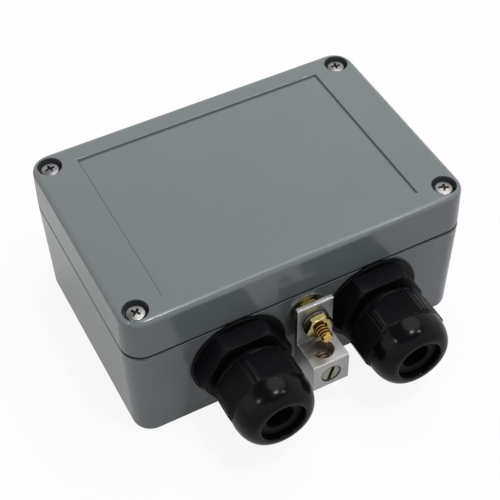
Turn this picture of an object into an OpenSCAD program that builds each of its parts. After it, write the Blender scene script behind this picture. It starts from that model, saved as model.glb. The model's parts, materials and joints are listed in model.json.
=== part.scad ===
/* [Case] */
// Length of the closed case, along X
case_l = 120; // [114:1:150]
// Width of the closed case, front to back
case_w = 81; // [78:1:100]
// Height of the closed case
case_h = 55; // [52:1:70]
// Height of the lid, from the joint to its top
lid_h = 15.5; // [14:0.5:18]
// Radius of the upright corners
corner_r = 7.25; // [6.5:0.25:8]
// Thickness of the side walls, at the bottom of the base
wall_t = 2.6; // [2.2:0.1:3]
// Thickness of the floor
floor_t = 3; // [2.4:0.1:3.6]
// Thickness of the lid's top plate
top_t = 3; // [2.4:0.1:3.6]
// How far the lid's skirt stands out past the base
lid_overhang = 0.35; // [0.1:0.05:0.6]
// Draft of the base's walls, over their whole height
base_draft = 0.4; // [0.1:0.05:0.6]
// Draft of the lid's walls, over their whole height
lid_draft = 0.3; // [0.1:0.05:0.6]
// Open line between the rims of base and lid
joint_gap = 0.3; // [0.2:0.05:0.5]
// Height of the step round the base's rim, which shows as the shadow line
line_h = 0.65; // [0.3:0.05:0.9]
// Depth of that step
line_d = 0.5; // [0.3:0.05:0.8]
// Radius of the lid's top edge
lid_edge_r = 1.8; // [1:0.1:2.4]
// Radius of the base's bottom edge
foot_edge_r = 1; // [0.5:0.1:1.6]
// Width of the pocket at each end, which holds the screws outside the seal
pocket_w = 7.25; // [6.5:0.25:7.5]
// Thickness of the inner end walls, which carry the seal
seal_wall_t = 2.6; // [2.4:0.1:3]
// Corner radius of the wiring chamber
chamber_r = 3; // [1:0.5:4]

/* [Lid panel] */
// Distance of the sunk panel from the ends of the case
panel_inset_x = 15.3; // [14:0.1:25]
// Distance of the sunk panel from the front and back of the case
panel_inset_y = 7.8; // [7:0.1:18]
// Depth of the sunk panel
panel_depth = 0.6; // [0.3:0.1:1]

/* [Seal] */
// Width of the foamed seal
seal_w = 1.4; // [1:0.1:1.6]
// Height of the foamed seal
seal_h = 1.5; // [1.2:0.1:2]
// Distance of the seal from the chamber's edge
seal_inset = 0.6; // [0.4:0.1:0.8]

/* [Lid screws] */
// Distance of the lid screws from the ends of the case
screw_inset_x = 6.2; // [6:0.1:6.5]
// Distance of the lid screws from the front and back of the case
screw_inset_y = 6.4; // [6:0.1:6.8]
// Radius of the lid screws' shank
screw_r = 2; // [1.8:0.05:2.1]
// Length of the lid screws' shank
screw_len = 18; // [16.5:0.5:20]
// Radius of the lid screws' pan head
head_r = 3.1; // [2.8:0.1:3.6]
// Height of the lid screws' pan head
head_h = 2.4; // [2:0.1:2.8]
// Radius of the counterbore over each lid screw
counterbore_r = 4.1; // [3.8:0.1:4.4]
// Depth of the counterbore over each lid screw
counterbore_depth = 3.6; // [3:0.1:4.2]
// Radius of the pillars round the lid screws in the base
pillar_r = 4.8; // [4.4:0.1:5]
// Outer radius of the threaded inserts
insert_r = 2.9; // [2.7:0.1:3.2]
// Length of the threaded inserts
insert_len = 6; // [5:0.5:8]
// Outer radius of the washers that keep the lid screws in the lid
keeper_r = 3.6; // [3.2:0.1:3.7]
// Thickness of the washers that keep the lid screws in the lid
keeper_t = 0.8; // [0.5:0.1:1]

/* [Wall mounting] */
// Distance between each lid screw and its wall screw hole, front to back
mount_step = 11.1; // [9:0.1:18]
// Radius of the wall screw holes
mount_hole_r = 2.25; // [1.8:0.05:2.6]
// Height of the rim round each wall screw hole
mount_rim_h = 1.5; // [1:0.1:3]

/* [Cable glands] */
// Where the glands stand: 0 is against the lug, 1 is against the ends of the chamber
gland_spread = 0.306; // [0.1:0.002:0.6]
// Clearance between the joint and the flat washers under the glands
gland_drop = 0.3; // [0.2:0.1:1]
// Height kept free round the glands' flanges on the front wall
gland_margin = 1.5; // [1:0.1:3]
// Radius of the glands' inlet thread
inlet_r = 11.2; // [10:0.1:11.6]
// Radius of the glands' bore
gland_bore_r = 8.2; // [7.8:0.1:8.4]
// Radius of the round flange
flange_r = 16.6; // [16:0.1:17]
// Thickness of the round flange
flange_t = 1.25; // [1:0.05:2]
// Radius of the flat washer under the flange
gasket_r = 15.6; // [14:0.1:15.7]
// Thickness of the flat washer under the flange
gasket_t = 1; // [0.8:0.1:1.5]
// Radius across the corners of the body's hexagon
body_hex_r = 16.2; // [14:0.1:16.4]
// Length of the body's hexagon
body_hex_len = 6.5; // [5:0.5:8]
// Distance between the body's hexagon and the sealing nut
neck_gap = 2; // [1:0.25:3]
// Radius of the thread under the sealing nut
cap_thread_r = 11; // [10.6:0.1:11.2]
// Length of that thread inside the sealing nut
cap_thread_len = 7.5; // [6:0.5:8]
// Thickness of the claw's fingers
finger_t = 1.5; // [1.2:0.1:1.6]
// Number of the claw's fingers
finger_count = 12; // [6:1:16]
// Length of the claw's fingers
finger_len = 7; // [5:0.5:7]
// Width of the slits between the fingers
finger_slit = 1; // [0.6:0.1:1.4]
// Radius across the corners of the lock nut inside the case
lock_nut_r = 15; // [14:0.25:16]
// Thickness of the lock nut
lock_nut_t = 5; // [4:0.5:6]

/* [Sealing nuts] */
// Length of the sealing nut
nut_len = 20.5; // [20:0.5:22]
// Distance from the nut's axis to its ribbed flats
nut_flat_r = 13.2; // [13:0.1:13.5]
// Radius of the nut's turned corners
nut_corner_r = 14.5; // [14.3:0.1:14.9]
// Length of the nut's hexagon, with its collar
nut_hex_len = 12; // [11:0.5:13]
// Radius of the nut's plain collar
nut_collar_r = 13.3; // [12.8:0.1:13.6]
// Length of the nut's plain collar
nut_collar_len = 1.2; // [0.8:0.1:1.6]
// Number of ribs on each flat
rib_count = 13; // [8:1:15]
// Depth of the grooves between the ribs
rib_depth = 0.35; // [0.2:0.05:0.5]
// Radius of the dome where it meets the hexagon
dome_r = 13.3; // [13:0.1:13.6]
// Radius of the hole in the nose
nose_r = 7.6; // [7:0.1:7.8]
// Thickness of the nose round that hole
nose_t = 2.05; // [1.6:0.05:2.4]
// Turn of the left nut about its axis
left_turn = 48; // [0:1:59]
// Turn of the right nut about its axis
right_turn = 5; // [0:1:59]

/* [Gland seals] */
// Radius of the cable hole in the seal
cable_r = 4.6; // [3:0.1:5.5]
// Length of the seal
gland_seal_len = 11.4; // [9:0.1:12]
// Radius of the seal's rounded edges
seal_edge_r = 0.6; // [0.3:0.1:0.9]

/* [Earth stud] */
// Distance of the earth stud's axis below the joint
stud_drop = 7.6; // [7:0.1:9]
// Radius of the earth stud
stud_r = 2.1; // [1.9:0.05:2.2]
// Length of the stud from the case's outer wall to its tip
stud_reach = 15.2; // [13.5:0.1:17]
// Radius of the stud's head, inside the case
stud_head_r = 4; // [3.6:0.1:4.4]
// Height of the stud's head
stud_head_h = 2.6; // [2:0.1:3]
// Radius of the plain washer on the wall
wall_washer_r = 6.2; // [5:0.1:6.5]
// Thickness of the plain washer on the wall
wall_washer_t = 1.6; // [0.8:0.1:2]
// Radius across the flats of the brass nuts
stud_nut_flat_r = 4.25; // [4:0.05:4.4]
// Thickness of the brass nuts
stud_nut_t = 2.5; // [2:0.1:3]
// Radius of the toothed washer behind the lug
tooth_washer_r = 5; // [4.6:0.1:5.4]
// Thickness of the toothed washer
tooth_washer_t = 1.25; // [0.8:0.05:1.5]
// Number of teeth on the toothed washer
tooth_count = 12; // [8:1:16]
// Radius of the split washer in front of the lug
split_washer_r = 4.7; // [4.4:0.1:5]
// Thickness of the split washer
split_washer_t = 0.9; // [0.7:0.1:1.2]
// Turn of the outer brass nut about the stud
outer_nut_turn = 5; // [0:1:59]

/* [Earth lug] */
// Width of the lug
lug_w = 12.7; // [11.5:0.1:14]
// Thickness of the lug's upright tang
tang_t = 1.8; // [1.4:0.1:2.4]
// Height of the tang's top above the stud
tang_rise = 8; // [6:0.1:8.5]
// Depth of the lug's block, tang and all
block_d = 12.7; // [12.2:0.1:14]
// Height of the lug's block
block_h = 11.9; // [10:0.1:13]
// Height of the stud above the lug's block
stud_over_block = 8.4; // [7:0.1:9]
// Radius of the wire hole
wire_hole_r = 3.7; // [3:0.1:4]
// Distance of the wire hole's axis from the lug's front face
wire_hole_inset = 5.7; // [5.3:0.1:6]
// Radius of the clamp screw
clamp_r = 3.2; // [2.6:0.1:3.4]
// Clearance between the clamp screw's tip and the far side of the wire hole
clamp_gap = 0.25; // [0.1:0.05:3]
// Bevel round the clamp screw's tip
clamp_bevel = 0.6; // [0.3:0.1:0.8]
// Height of the clamp screw's axis above the lug's underside
clamp_rise = 5.6; // [4.5:0.1:6]
// Width of the clamp screw's slot
clamp_slot = 0.9; // [0.6:0.1:1.2]
// Width of the small bevels on the lug's edges
lug_bevel = 0.3; // [0.1:0.05:0.5]

/* [Ring terminal and wire] */
// Radius of the ring terminal
ring_r = 4.4; // [4:0.1:4.8]
// Thickness of the ring terminal's sheet
ring_t = 0.8; // [0.6:0.1:1]
// Outer radius of the ring terminal's barrel
barrel_r = 1.95; // [1.8:0.05:2.2]
// Length of the ring terminal's barrel
barrel_len = 6; // [4:0.5:7]
// Radius of the earth wire
wire_r = 1.3; // [0.9:0.05:1.4]

/* [Circuit board] */
// Clearance between the circuit board and the ends of the chamber
board_gap_x = 4.8; // [3:0.1:8]
// Clearance between the circuit board and the back wall
board_gap_back = 2.15; // [1.5:0.05:4]
// Room for wires between the circuit board and the front wall
board_room = 20.15; // [18:0.05:23]
// Thickness of the circuit board
board_t = 1.6; // [1:0.1:2]
// Height of the posts under the board
post_h = 6; // [5:0.5:8]
// Radius of the posts under the board
post_r = 3.2; // [2.8:0.1:3.6]
// Distance of the board screws from the board's edges
board_screw_inset = 4; // [3.5:0.1:4.5]
// Radius of the board screws
board_screw_r = 1.5; // [1.2:0.05:1.6]
// Length of the board screws' shank
board_screw_len = 6; // [5:0.5:7]

/* [Sockets] */
// Width of a socket's shield
jack_w = 16.2; // [15:0.1:17]
// Depth of a socket's shield
jack_d = 21; // [18:0.5:22]
// Height of a socket's shield
jack_h = 13.6; // [13:0.1:14.5]
// Thickness of the shield's sheet
shield_t = 0.4; // [0.3:0.05:0.6]
// Distance of the sockets' backs from the board's back edge
jack_back = 20; // [19:0.5:22]
// Width of the plug opening
plug_w = 11.9; // [11.6:0.1:12.4]
// Height of the plug opening
plug_h = 7.4; // [7:0.1:7.8]
// Depth of the plug opening
plug_d = 13.5; // [12:0.5:14.5]
// Width of the latch notch
latch_w = 6.2; // [5.5:0.1:7]
// Height of the latch notch
latch_h = 2.2; // [1.6:0.1:2.4]
// Number of spring contacts in a socket
contact_count = 8; // [4:1:10]
// Distance between the spring contacts
contact_pitch = 1.02; // [0.9:0.02:1.1]
// Thickness of a spring contact
contact_t = 0.4; // [0.3:0.05:0.5]

/* [Surge parts] */
// Radius of a gas tube
tube_r = 4; // [3:0.1:4.5]
// Length of a gas tube
tube_len = 8; // [6:0.5:10]
// Distance of the outer surge parts from the board screws
surge_inset = 8; // [7.5:0.1:10]
// Distance of the gas tubes from the board's back edge
tube_back = 13.5; // [13:0.5:14.5]
// Distance of the diodes from the board's back edge
diode_back = 5; // [4.5:0.5:6]
// Length of a diode's case
diode_l = 6.8; // [5:0.1:8]
// Width of a diode's case
diode_w = 5.9; // [4:0.1:6.5]
// Height of a diode's case
diode_h = 2.3; // [2:0.1:3]
// Width of the earth terminal block
block_l = 10; // [8:0.5:12]
// Depth of the earth terminal block
terminal_d = 9; // [8:0.5:10]
// Height of the earth terminal block
terminal_h = 11; // [9:0.5:13]

/* [Clearances] */
// Running clearance between pieces that turn or slide on each other
run_gap = 0.05; // [0.02:0.01:0.08]
// Clearance of a screw or thread in a plain hole
hole_gap = 0.25; // [0.15:0.05:0.4]
// Clearance of a piece that sits in its own place
seat_gap = 0.03; // [0.02:0.01:0.06]

/* [Hidden] */
$fn = 48;
// A small overlap that lets one cut run clean through a face
cut = 0.5;
// Clearance round the washers in their flat seats on the front wall
spot_gap = 0.1;

case_grey = [0.45, 0.49, 0.49];
black_nylon = [0.06, 0.06, 0.07];
rubber_black = [0.1, 0.1, 0.1];
steel = [0.72, 0.72, 0.74];
alloy = [0.78, 0.78, 0.8];
brass = [0.8, 0.65, 0.3];
board_green = [0.1, 0.35, 0.2];

// Case, worked out from the sizes above
joint_z = case_h - lid_h;
base_top_r = corner_r - lid_overhang;
base_low_r = base_top_r - base_draft;
inner_x = case_l / 2 - lid_overhang - base_draft - wall_t;
inner_y = case_w / 2 - lid_overhang - base_draft - wall_t;
pocket_x = inner_x - pocket_w;
chamber_x = pocket_x - seal_wall_t;
lid_z = joint_z + joint_gap;
lid_ceiling = case_h - top_t;
seat_y = case_w / 2 - lid_overhang - base_draft;

// Lid screws
screw_x = case_l / 2 - screw_inset_x;
screw_y = case_w / 2 - screw_inset_y;
screw_seat = case_h - counterbore_depth;
screw_tip = screw_seat - screw_len;
screw_travel = joint_z - screw_tip;
keeper_z = lid_z + keeper_t;
keeper_pocket_top = keeper_z + keeper_t + screw_travel + hole_gap;
mount_x = (pocket_x + inner_x) / 2;
mount_y = screw_y - mount_step;

// Where the glands stand, and the scale at which they fit a lower case
gland_scale = min(1, (joint_z - gland_margin) / (2 * flange_r));
gland_nearest = lug_w / 2 + nut_corner_r;
gland_farthest = chamber_x - lock_nut_r;
gland_x = gland_nearest + gland_spread * (gland_farthest - gland_nearest);
gland_z = joint_z - gland_drop - gland_scale * gasket_r;

// Gland stations, as distances out from the wall's face
thread_in = wall_t + lock_nut_t + 1.4;
flange_w = gasket_t + flange_t;
hex_end = flange_w + body_hex_len;
nut_back = hex_end + neck_gap;
cap_thread_end = nut_back + cap_thread_len;
claw_r = gland_bore_r + finger_t;
claw_end = cap_thread_end + finger_len;
nut_hex_end = nut_back + nut_hex_len;
nut_end = nut_back + nut_len;
nose_in = nut_end - nose_t;
seal_front = nose_in - 0.3;
seal_r = gland_bore_r - 0.2;

// Earth stud stations, as distances out from the wall's face
stud_z = joint_z - stud_drop;
wall_nut_w = wall_washer_t;
tooth_w = wall_nut_w + stud_nut_t;
tang_w = tooth_w + tooth_washer_t;
split_w = tang_w + tang_t;
outer_nut_w = split_w + split_washer_t;
lug_front = tang_w + block_d;
block_top = stud_z - stud_over_block;
block_low = block_top - block_h;
clamp_z = block_low + clamp_rise;
clamp_head_w = lug_front - 0.2;
clamp_far_tip = sqrt(max(0, pow(wire_hole_r, 2) - pow(clamp_r - clamp_bevel, 2)));
clamp_far_shank = clamp_bevel + sqrt(max(0, pow(wire_hole_r, 2) - pow(clamp_r, 2)));
clamp_tip_w = lug_front - wire_hole_inset - min(clamp_far_tip, clamp_far_shank) + clamp_gap;
clamp_len = clamp_head_w - clamp_tip_w;

// Board and what stands on it
board_low = floor_t + post_h;
board_top = board_low + board_t;
board_l = 2 * (chamber_x - board_gap_x);
board_back_y = inner_y - board_gap_back;
board_front_y = board_room - inner_y;
board_w = board_back_y - board_front_y;
board_y = (board_front_y + board_back_y) / 2;
jack_mouth_y = board_back_y - jack_back - jack_d;
board_screw_x = board_l / 2 - board_screw_inset;
board_screw_dy = board_w / 2 - board_screw_inset;
barrel_y = -inner_y + barrel_r + 0.15;
barrel_top = stud_z - ring_r - 0.3;
barrel_low = barrel_top - barrel_len;
terminal_y = board_front_y + 8;
terminal_wire_z = board_top + 3.4;

// Route of the earth wire, from the ring terminal's barrel to the terminal block
wire_run = terminal_y - barrel_y;
wire_route = [
    [0, barrel_y, barrel_top - 1.5],
    [0, barrel_y, barrel_low - 1],
    [0, barrel_y + 0.8, barrel_low - 4],
    [0, barrel_y + wire_run * 0.16, terminal_wire_z + 1],
    [0, barrel_y + wire_run * 0.31, terminal_wire_z - 0.2],
    [0, barrel_y + wire_run * 0.54, terminal_wire_z - 0.4],
    [0, barrel_y + wire_run * 0.77, terminal_wire_z - 0.2],
    [0, terminal_y - 1, terminal_wire_z],
    [0, terminal_y + 4, terminal_wire_z]
];

// Copies its child to four places, mirrored about the middle
module at_corners(x, y) {
    for (sx = [-1, 1])
        for (sy = [-1, 1])
            translate([sx * x, sy * y, 0])
                children();
}

// Flat outline of a rectangle with round corners
module round_rect(l, w, r) {
    square([l - 2 * r, w], center = true);
    square([l, w - 2 * r], center = true);
    at_corners(l / 2 - r, w / 2 - r)
        circle(r);
}

// Upright block with round corners, from z0 to z1
module round_block(l, w, r, z0, z1) {
    translate([0, 0, z0])
        linear_extrude(z1 - z0)
            round_rect(l, w, r);
}

// Places its child on the front wall, with its own Z pointing out of the case
module on_front(x, z) {
    translate([x, -seat_y, z])
        rotate([90, 0, 0])
            children();
}

// Places a gland's piece on the front wall, at the scale that the wall allows
module at_gland(side) {
    on_front(side * gland_x, gland_z)
        scale(gland_scale)
            children();
}

// Outside of the base: drafted walls and a rounded foot
module base_outside() {
    foot = [for (a = [-90:30:0]) [base_low_r - foot_edge_r * (1 - cos(a)), foot_edge_r * (1 + sin(a))]];
    hull()
        at_corners(case_l / 2 - corner_r, case_w / 2 - corner_r)
            rotate_extrude($fn = 40)
                polygon(concat([[0, 0]], foot, [[base_top_r, joint_z], [0, joint_z]]));
}

// Outside of the lid: drafted skirt and a rounded top edge
module lid_outside() {
    top_r = corner_r - lid_draft;
    edge = [for (a = [0:18:90]) [top_r - lid_edge_r * (1 - cos(a)), case_h - lid_edge_r * (1 - sin(a))]];
    hull()
        at_corners(case_l / 2 - corner_r, case_w / 2 - corner_r)
            rotate_extrude($fn = 40)
                polygon(concat([[0, lid_z], [corner_r, lid_z]], edge, [[0, case_h]]));
}

// The wiring chamber and the two end pockets, from z0 to z1
module case_hollows(z0, z1) {
    round_block(2 * chamber_x, 2 * inner_y, chamber_r, z0, z1);
    for (side = [-1, 1])
        translate([side * (pocket_x + inner_x) / 2, 0, z0])
            linear_extrude(z1 - z0)
                square([pocket_w, 2 * inner_y], center = true);
}

module enclosure_base() {
    color(case_grey)
        difference() {
            base_outside();
            difference() {
                inset = lid_overhang + line_d;
                round_block(case_l, case_w, corner_r, joint_z - line_h, joint_z + cut);
                round_block(case_l - 2 * inset, case_w - 2 * inset, corner_r - inset,
                    joint_z - line_h - cut, joint_z + 2 * cut);
            }
            difference() {
                case_hollows(floor_t, joint_z + cut);
                at_corners(screw_x, screw_y)
                    cylinder(h = joint_z + 2 * cut, r = pillar_r);
                at_corners(mount_x, mount_y)
                    cylinder(h = floor_t + mount_rim_h, r = pocket_w / 2 - hole_gap);
                translate([0, board_y, 0])
                    at_corners(board_screw_x, board_screw_dy)
                        cylinder(h = board_low, r = post_r);
            }
            at_corners(screw_x, screw_y) {
                translate([0, 0, joint_z - insert_len])
                    cylinder(h = insert_len + cut, r = insert_r + seat_gap);
                translate([0, 0, joint_z - insert_len - 3])
                    cylinder(h = 4, r = screw_r + hole_gap);
            }
            at_corners(mount_x, mount_y)
                translate([0, 0, -cut])
                    cylinder(h = floor_t + mount_rim_h + 2 * cut, r = mount_hole_r);
            translate([0, board_y, floor_t])
                at_corners(board_screw_x, board_screw_dy)
                    cylinder(h = post_h + cut, r = board_screw_r + run_gap);
            for (side = [-1, 1])
                on_front(side * gland_x, gland_z) {
                    translate([0, 0, -wall_t - cut])
                        cylinder(h = wall_t + 3, r = gland_scale * inlet_r + 0.2);
                    cylinder(h = 3, r = gland_scale * gasket_r + spot_gap);
                }
            on_front(0, stud_z) {
                translate([0, 0, -wall_t - cut])
                    cylinder(h = wall_t + 3, r = stud_r + 0.2);
                cylinder(h = 3, r = wall_washer_r + spot_gap);
            }
        }
}

module enclosure_lid() {
    color(case_grey)
        difference() {
            lid_outside();
            difference() {
                case_hollows(lid_z - cut, lid_ceiling);
                at_corners(screw_x, screw_y)
                    translate([0, 0, lid_z - 2 * cut])
                        cylinder(h = lid_ceiling, r = keeper_r + hole_gap + 1.6);
            }
            difference() {
                groove = seal_inset + seal_w + seat_gap;
                lip = seal_inset - seat_gap;
                round_block(2 * (chamber_x + groove), 2 * (inner_y + groove), chamber_r + groove,
                    lid_z - cut, joint_z + seal_h);
                round_block(2 * (chamber_x + lip), 2 * (inner_y + lip), chamber_r + lip,
                    lid_z - 2 * cut, joint_z + seal_h + cut);
            }
            translate([0, 0, case_h])
                cube([case_l - 2 * panel_inset_x, case_w - 2 * panel_inset_y, 2 * panel_depth],
                    center = true);
            at_corners(screw_x, screw_y) {
                translate([0, 0, screw_seat])
                    cylinder(h = counterbore_depth + cut, r = counterbore_r);
                translate([0, 0, lid_z - cut])
                    cylinder(h = case_h - lid_z, r = screw_r + hole_gap);
                translate([0, 0, lid_z - cut])
                    cylinder(h = keeper_pocket_top - lid_z + cut, r = keeper_r + hole_gap);
            }
        }
}

module lid_seal() {
    color(rubber_black)
        difference() {
            outer = seal_inset + seal_w;
            round_block(2 * (chamber_x + outer), 2 * (inner_y + outer), chamber_r + outer,
                joint_z, joint_z + seal_h);
            round_block(2 * (chamber_x + seal_inset), 2 * (inner_y + seal_inset), chamber_r + seal_inset,
                joint_z - cut, joint_z + seal_h + cut);
        }
}

// Cross recess, cut down from z = 0
module cross_recess(reach, blade, depth) {
    for (turn = [0, 90])
        rotate(turn)
            cube([2 * reach, blade, 2 * depth], center = true);
}

// Pan head that stands on z = 0, with its edge rounded over
module pan_head(r, h) {
    crown = [for (a = [0:15:90]) [r * 0.62 + r * 0.38 * cos(a), h * 0.35 + h * 0.65 * sin(a)]];
    rotate_extrude()
        polygon(concat([[0, 0], [r, 0]], crown, [[0, h]]));
}

module lid_screw(x, y) {
    color(steel)
        translate([x, y, screw_seat])
            difference() {
                union() {
                    pan_head(head_r, head_h);
                    translate([0, 0, -screw_len + 0.5])
                        cylinder(h = screw_len, r = screw_r);
                    translate([0, 0, -screw_len])
                        cylinder(h = 0.5, r1 = screw_r - 0.5, r2 = screw_r);
                }
                translate([0, 0, head_h])
                    cross_recess(head_r * 0.62, 0.9, head_h * 0.6);
            }
}

module ring(r_out, r_in, h) {
    difference() {
        cylinder(h = h, r = r_out);
        translate([0, 0, -cut])
            cylinder(h = h + 2 * cut, r = r_in);
    }
}

module screw_keeper(x, y) {
    color(black_nylon)
        translate([x, y, keeper_z])
            ring(keeper_r, screw_r + run_gap, keeper_t);
}

// Moulded-in insert with two grooves round it
module thread_insert(x, y) {
    color(brass)
        translate([x, y, joint_z - insert_len])
            difference() {
                ring(insert_r, screw_r + run_gap, insert_len);
                for (k = [1, 2])
                    translate([0, 0, k * insert_len / 3 - 0.3])
                        ring(insert_r + cut, insert_r - 0.3, 0.6);
            }
}

// Hexagonal prism with its corners turned off at both ends
module turned_hexagon(flat_r, h, turn) {
    corner = flat_r / cos(30);
    outer = corner + 0.2;
    bevel = (outer - flat_r) * tan(30);
    intersection() {
        rotate(turn)
            cylinder(h = h, r = corner, $fn = 6);
        rotate_extrude()
            polygon([[0, 0], [flat_r, 0], [outer, bevel], [outer, h - bevel], [flat_r, h], [0, h]]);
    }
}

module gland_body(side) {
    color(black_nylon)
        at_gland(side)
            difference() {
                union() {
                    translate([0, 0, -thread_in])
                        cylinder(h = thread_in + gasket_t + cut, r = inlet_r);
                    translate([0, 0, gasket_t])
                        cylinder(h = flange_t, r = flange_r);
                    translate([0, 0, flange_w - 0.1])
                        intersection() {
                            cylinder(h = body_hex_len + 0.1, r = body_hex_r, $fn = 6);
                            cylinder(h = body_hex_len + 0.1, r1 = body_hex_r + 3, r2 = body_hex_r - 1.2);
                        }
                    cylinder(h = cap_thread_end, r = cap_thread_r);
                    cylinder(h = claw_end, r = claw_r);
                }
                translate([0, 0, -thread_in - cut])
                    cylinder(h = thread_in + claw_end + 2 * cut, r = gland_bore_r);
                for (k = [0:finger_count - 1])
                    rotate(k * 360 / finger_count)
                        translate([gland_bore_r - cut, -finger_slit / 2, cap_thread_end + 0.75])
                            cube([finger_t + 2 * cut, finger_slit, finger_len]);
            }
}

module gland_washer(side) {
    color(rubber_black)
        at_gland(side)
            ring(gasket_r, inlet_r + run_gap, gasket_t);
}

module gland_locknut(side) {
    color(black_nylon)
        at_gland(side)
            translate([0, 0, -wall_t / gland_scale - lock_nut_t])
                difference() {
                    turned_hexagon(lock_nut_r * cos(30), lock_nut_t, 0);
                    translate([0, 0, -cut])
                        cylinder(h = lock_nut_t + 2 * cut, r = inlet_r + run_gap);
                }
}

// Outline of the nut's hexagon, with fine grooves along each flat
function ribbed_hexagon() =
    let (half = sqrt(pow(nut_corner_r, 2) - pow(nut_flat_r, 2)), pitch = 2 * half / rib_count)
    [for (flat = [0:5])
        let (turn = flat * 60 + 30)
        for (k = [0:2 * rib_count])
            let (along = -half + k * pitch / 2, out = nut_flat_r - (k % 2) * rib_depth)
            [out * cos(turn) - along * sin(turn), out * sin(turn) + along * cos(turn)]
    ];

module gland_nut(side, turn) {
    dome_len = nut_end - nut_hex_end;
    dome = [for (a = [0:10:80])
        [nose_r + 0.6 + (dome_r - nose_r - 0.6) * cos(a), nut_hex_end + dome_len * sin(a)]];
    color(black_nylon)
        at_gland(side)
            difference() {
                union() {
                    intersection() {
                        translate([0, 0, nut_back + nut_collar_len - 0.1])
                            rotate(turn)
                                linear_extrude(nut_hex_len - nut_collar_len + 0.1)
                                    union() {
                                        polygon(ribbed_hexagon());
                                        circle(nut_flat_r - rib_depth);
                                    }
                        rotate_extrude()
                            polygon([
                                [0, nut_back],
                                [nut_collar_r - 0.4, nut_back + nut_collar_len - 0.2],
                                [nut_corner_r, nut_back + nut_collar_len + 2.4],
                                [nut_corner_r, nut_hex_end - 0.8],
                                [nut_corner_r - 0.8, nut_hex_end],
                                [0, nut_hex_end]
                            ]);
                    }
                    translate([0, 0, nut_back])
                        cylinder(h = nut_collar_len, r = nut_collar_r);
                    rotate_extrude()
                        polygon(concat([[0, nut_hex_end - 0.4], [dome_r, nut_hex_end - 0.4]], dome,
                            [[nose_r + 0.6, nut_end], [0, nut_end]]));
                }
                rotate_extrude()
                    polygon([
                        [0, nut_back - cut],
                        [cap_thread_r + run_gap, nut_back - cut],
                        [cap_thread_r + run_gap, cap_thread_end + 1],
                        [claw_r + 0.4, cap_thread_end + 1.6],
                        [claw_r + 0.4, claw_end + 0.4],
                        [seal_r + 0.2, nose_in],
                        [nose_r, nose_in],
                        [nose_r, nut_end - 0.6],
                        [nose_r + 0.2, nut_end - 0.2],
                        [nose_r + 0.6, nut_end],
                        [nose_r + 0.6, nut_end + cut],
                        [0, nut_end + cut]
                    ]);
            }
}

module gland_seal(side) {
    low = seal_front - gland_seal_len;
    e = seal_edge_r;
    color(rubber_black)
        at_gland(side)
            rotate_extrude()
                polygon(concat(
                    [for (a = [180:15:270]) [cable_r + e + e * cos(a), low + e + e * sin(a)]],
                    [for (a = [270:15:360]) [seal_r - e + e * cos(a), low + e + e * sin(a)]],
                    [for (a = [0:15:90]) [seal_r - e + e * cos(a), seal_front - e + e * sin(a)]],
                    [for (a = [90:15:180]) [cable_r + e + e * cos(a), seal_front - e + e * sin(a)]]
                ));
}

module earth_stud() {
    head_w = wall_t + ring_t;
    color(brass)
        on_front(0, stud_z) {
            translate([0, 0, -head_w - 0.1])
                cylinder(h = head_w + 0.1 + stud_reach - 0.5, r = stud_r);
            translate([0, 0, stud_reach - 0.5])
                cylinder(h = 0.5, r1 = stud_r, r2 = stud_r - 0.5);
            translate([0, 0, -head_w])
                rotate([180, 0, 0])
                    difference() {
                        pan_head(stud_head_r, stud_head_h);
                        translate([0, 0, stud_head_h])
                            cube([2 * stud_head_r + 1, 1.1, 2.4], center = true);
                    }
        }
}

module wall_washer() {
    color(steel)
        on_front(0, stud_z)
            ring(wall_washer_r, stud_r + hole_gap, wall_washer_t);
}

module stud_nut(w, turn) {
    color(brass)
        on_front(0, stud_z)
            translate([0, 0, w])
                difference() {
                    turned_hexagon(stud_nut_flat_r, stud_nut_t, turn);
                    translate([0, 0, -cut])
                        cylinder(h = stud_nut_t + 2 * cut, r = stud_r + run_gap);
                }
}

module tooth_washer() {
    color(steel)
        on_front(0, stud_z)
            translate([0, 0, tooth_w])
                difference() {
                    ring(tooth_washer_r, stud_r + hole_gap, tooth_washer_t);
                    for (k = [0:tooth_count - 1])
                        rotate((k + 0.5) * 360 / tooth_count)
                            translate([tooth_washer_r - 0.9, -0.45, -cut])
                                cube([2, 0.9, tooth_washer_t + 2 * cut]);
                }
}

// One length of extruded alloy: an upright tang on a square block
module earth_lug() {
    b = lug_bevel;
    tang_top = stud_z + tang_rise;
    profile = [
        [tang_w, block_low + b], [tang_w + b, block_low],
        [lug_front - b, block_low], [lug_front, block_low + b],
        [lug_front, block_top - b], [lug_front - b, block_top],
        [split_w, block_top],
        [split_w, tang_top - b], [split_w - b, tang_top],
        [tang_w + b, tang_top], [tang_w, tang_top - b]
    ];
    color(alloy)
        difference() {
            translate([lug_w / 2, -seat_y, 0])
                rotate([90, 0, -90])
                    linear_extrude(lug_w)
                        polygon(profile);
            on_front(0, stud_z)
                translate([0, 0, tang_w - cut])
                    cylinder(h = tang_t + 2 * cut, r = stud_r + hole_gap);
            translate([0, -seat_y - lug_front + wire_hole_inset, block_low - cut])
                cylinder(h = block_h + 2 * cut, r = wire_hole_r);
            on_front(0, clamp_z)
                translate([0, 0, lug_front - wire_hole_inset])
                    cylinder(h = wire_hole_inset + cut, r = clamp_r + run_gap);
        }
}

module split_washer() {
    color(steel)
        on_front(0, stud_z)
            translate([0, 0, split_w])
                difference() {
                    ring(split_washer_r, stud_r + hole_gap, split_washer_t);
                    rotate(200)
                        translate([0, -0.35, -cut])
                            cube([2 * split_washer_r, 0.7, split_washer_t + 2 * cut]);
                }
}

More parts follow.
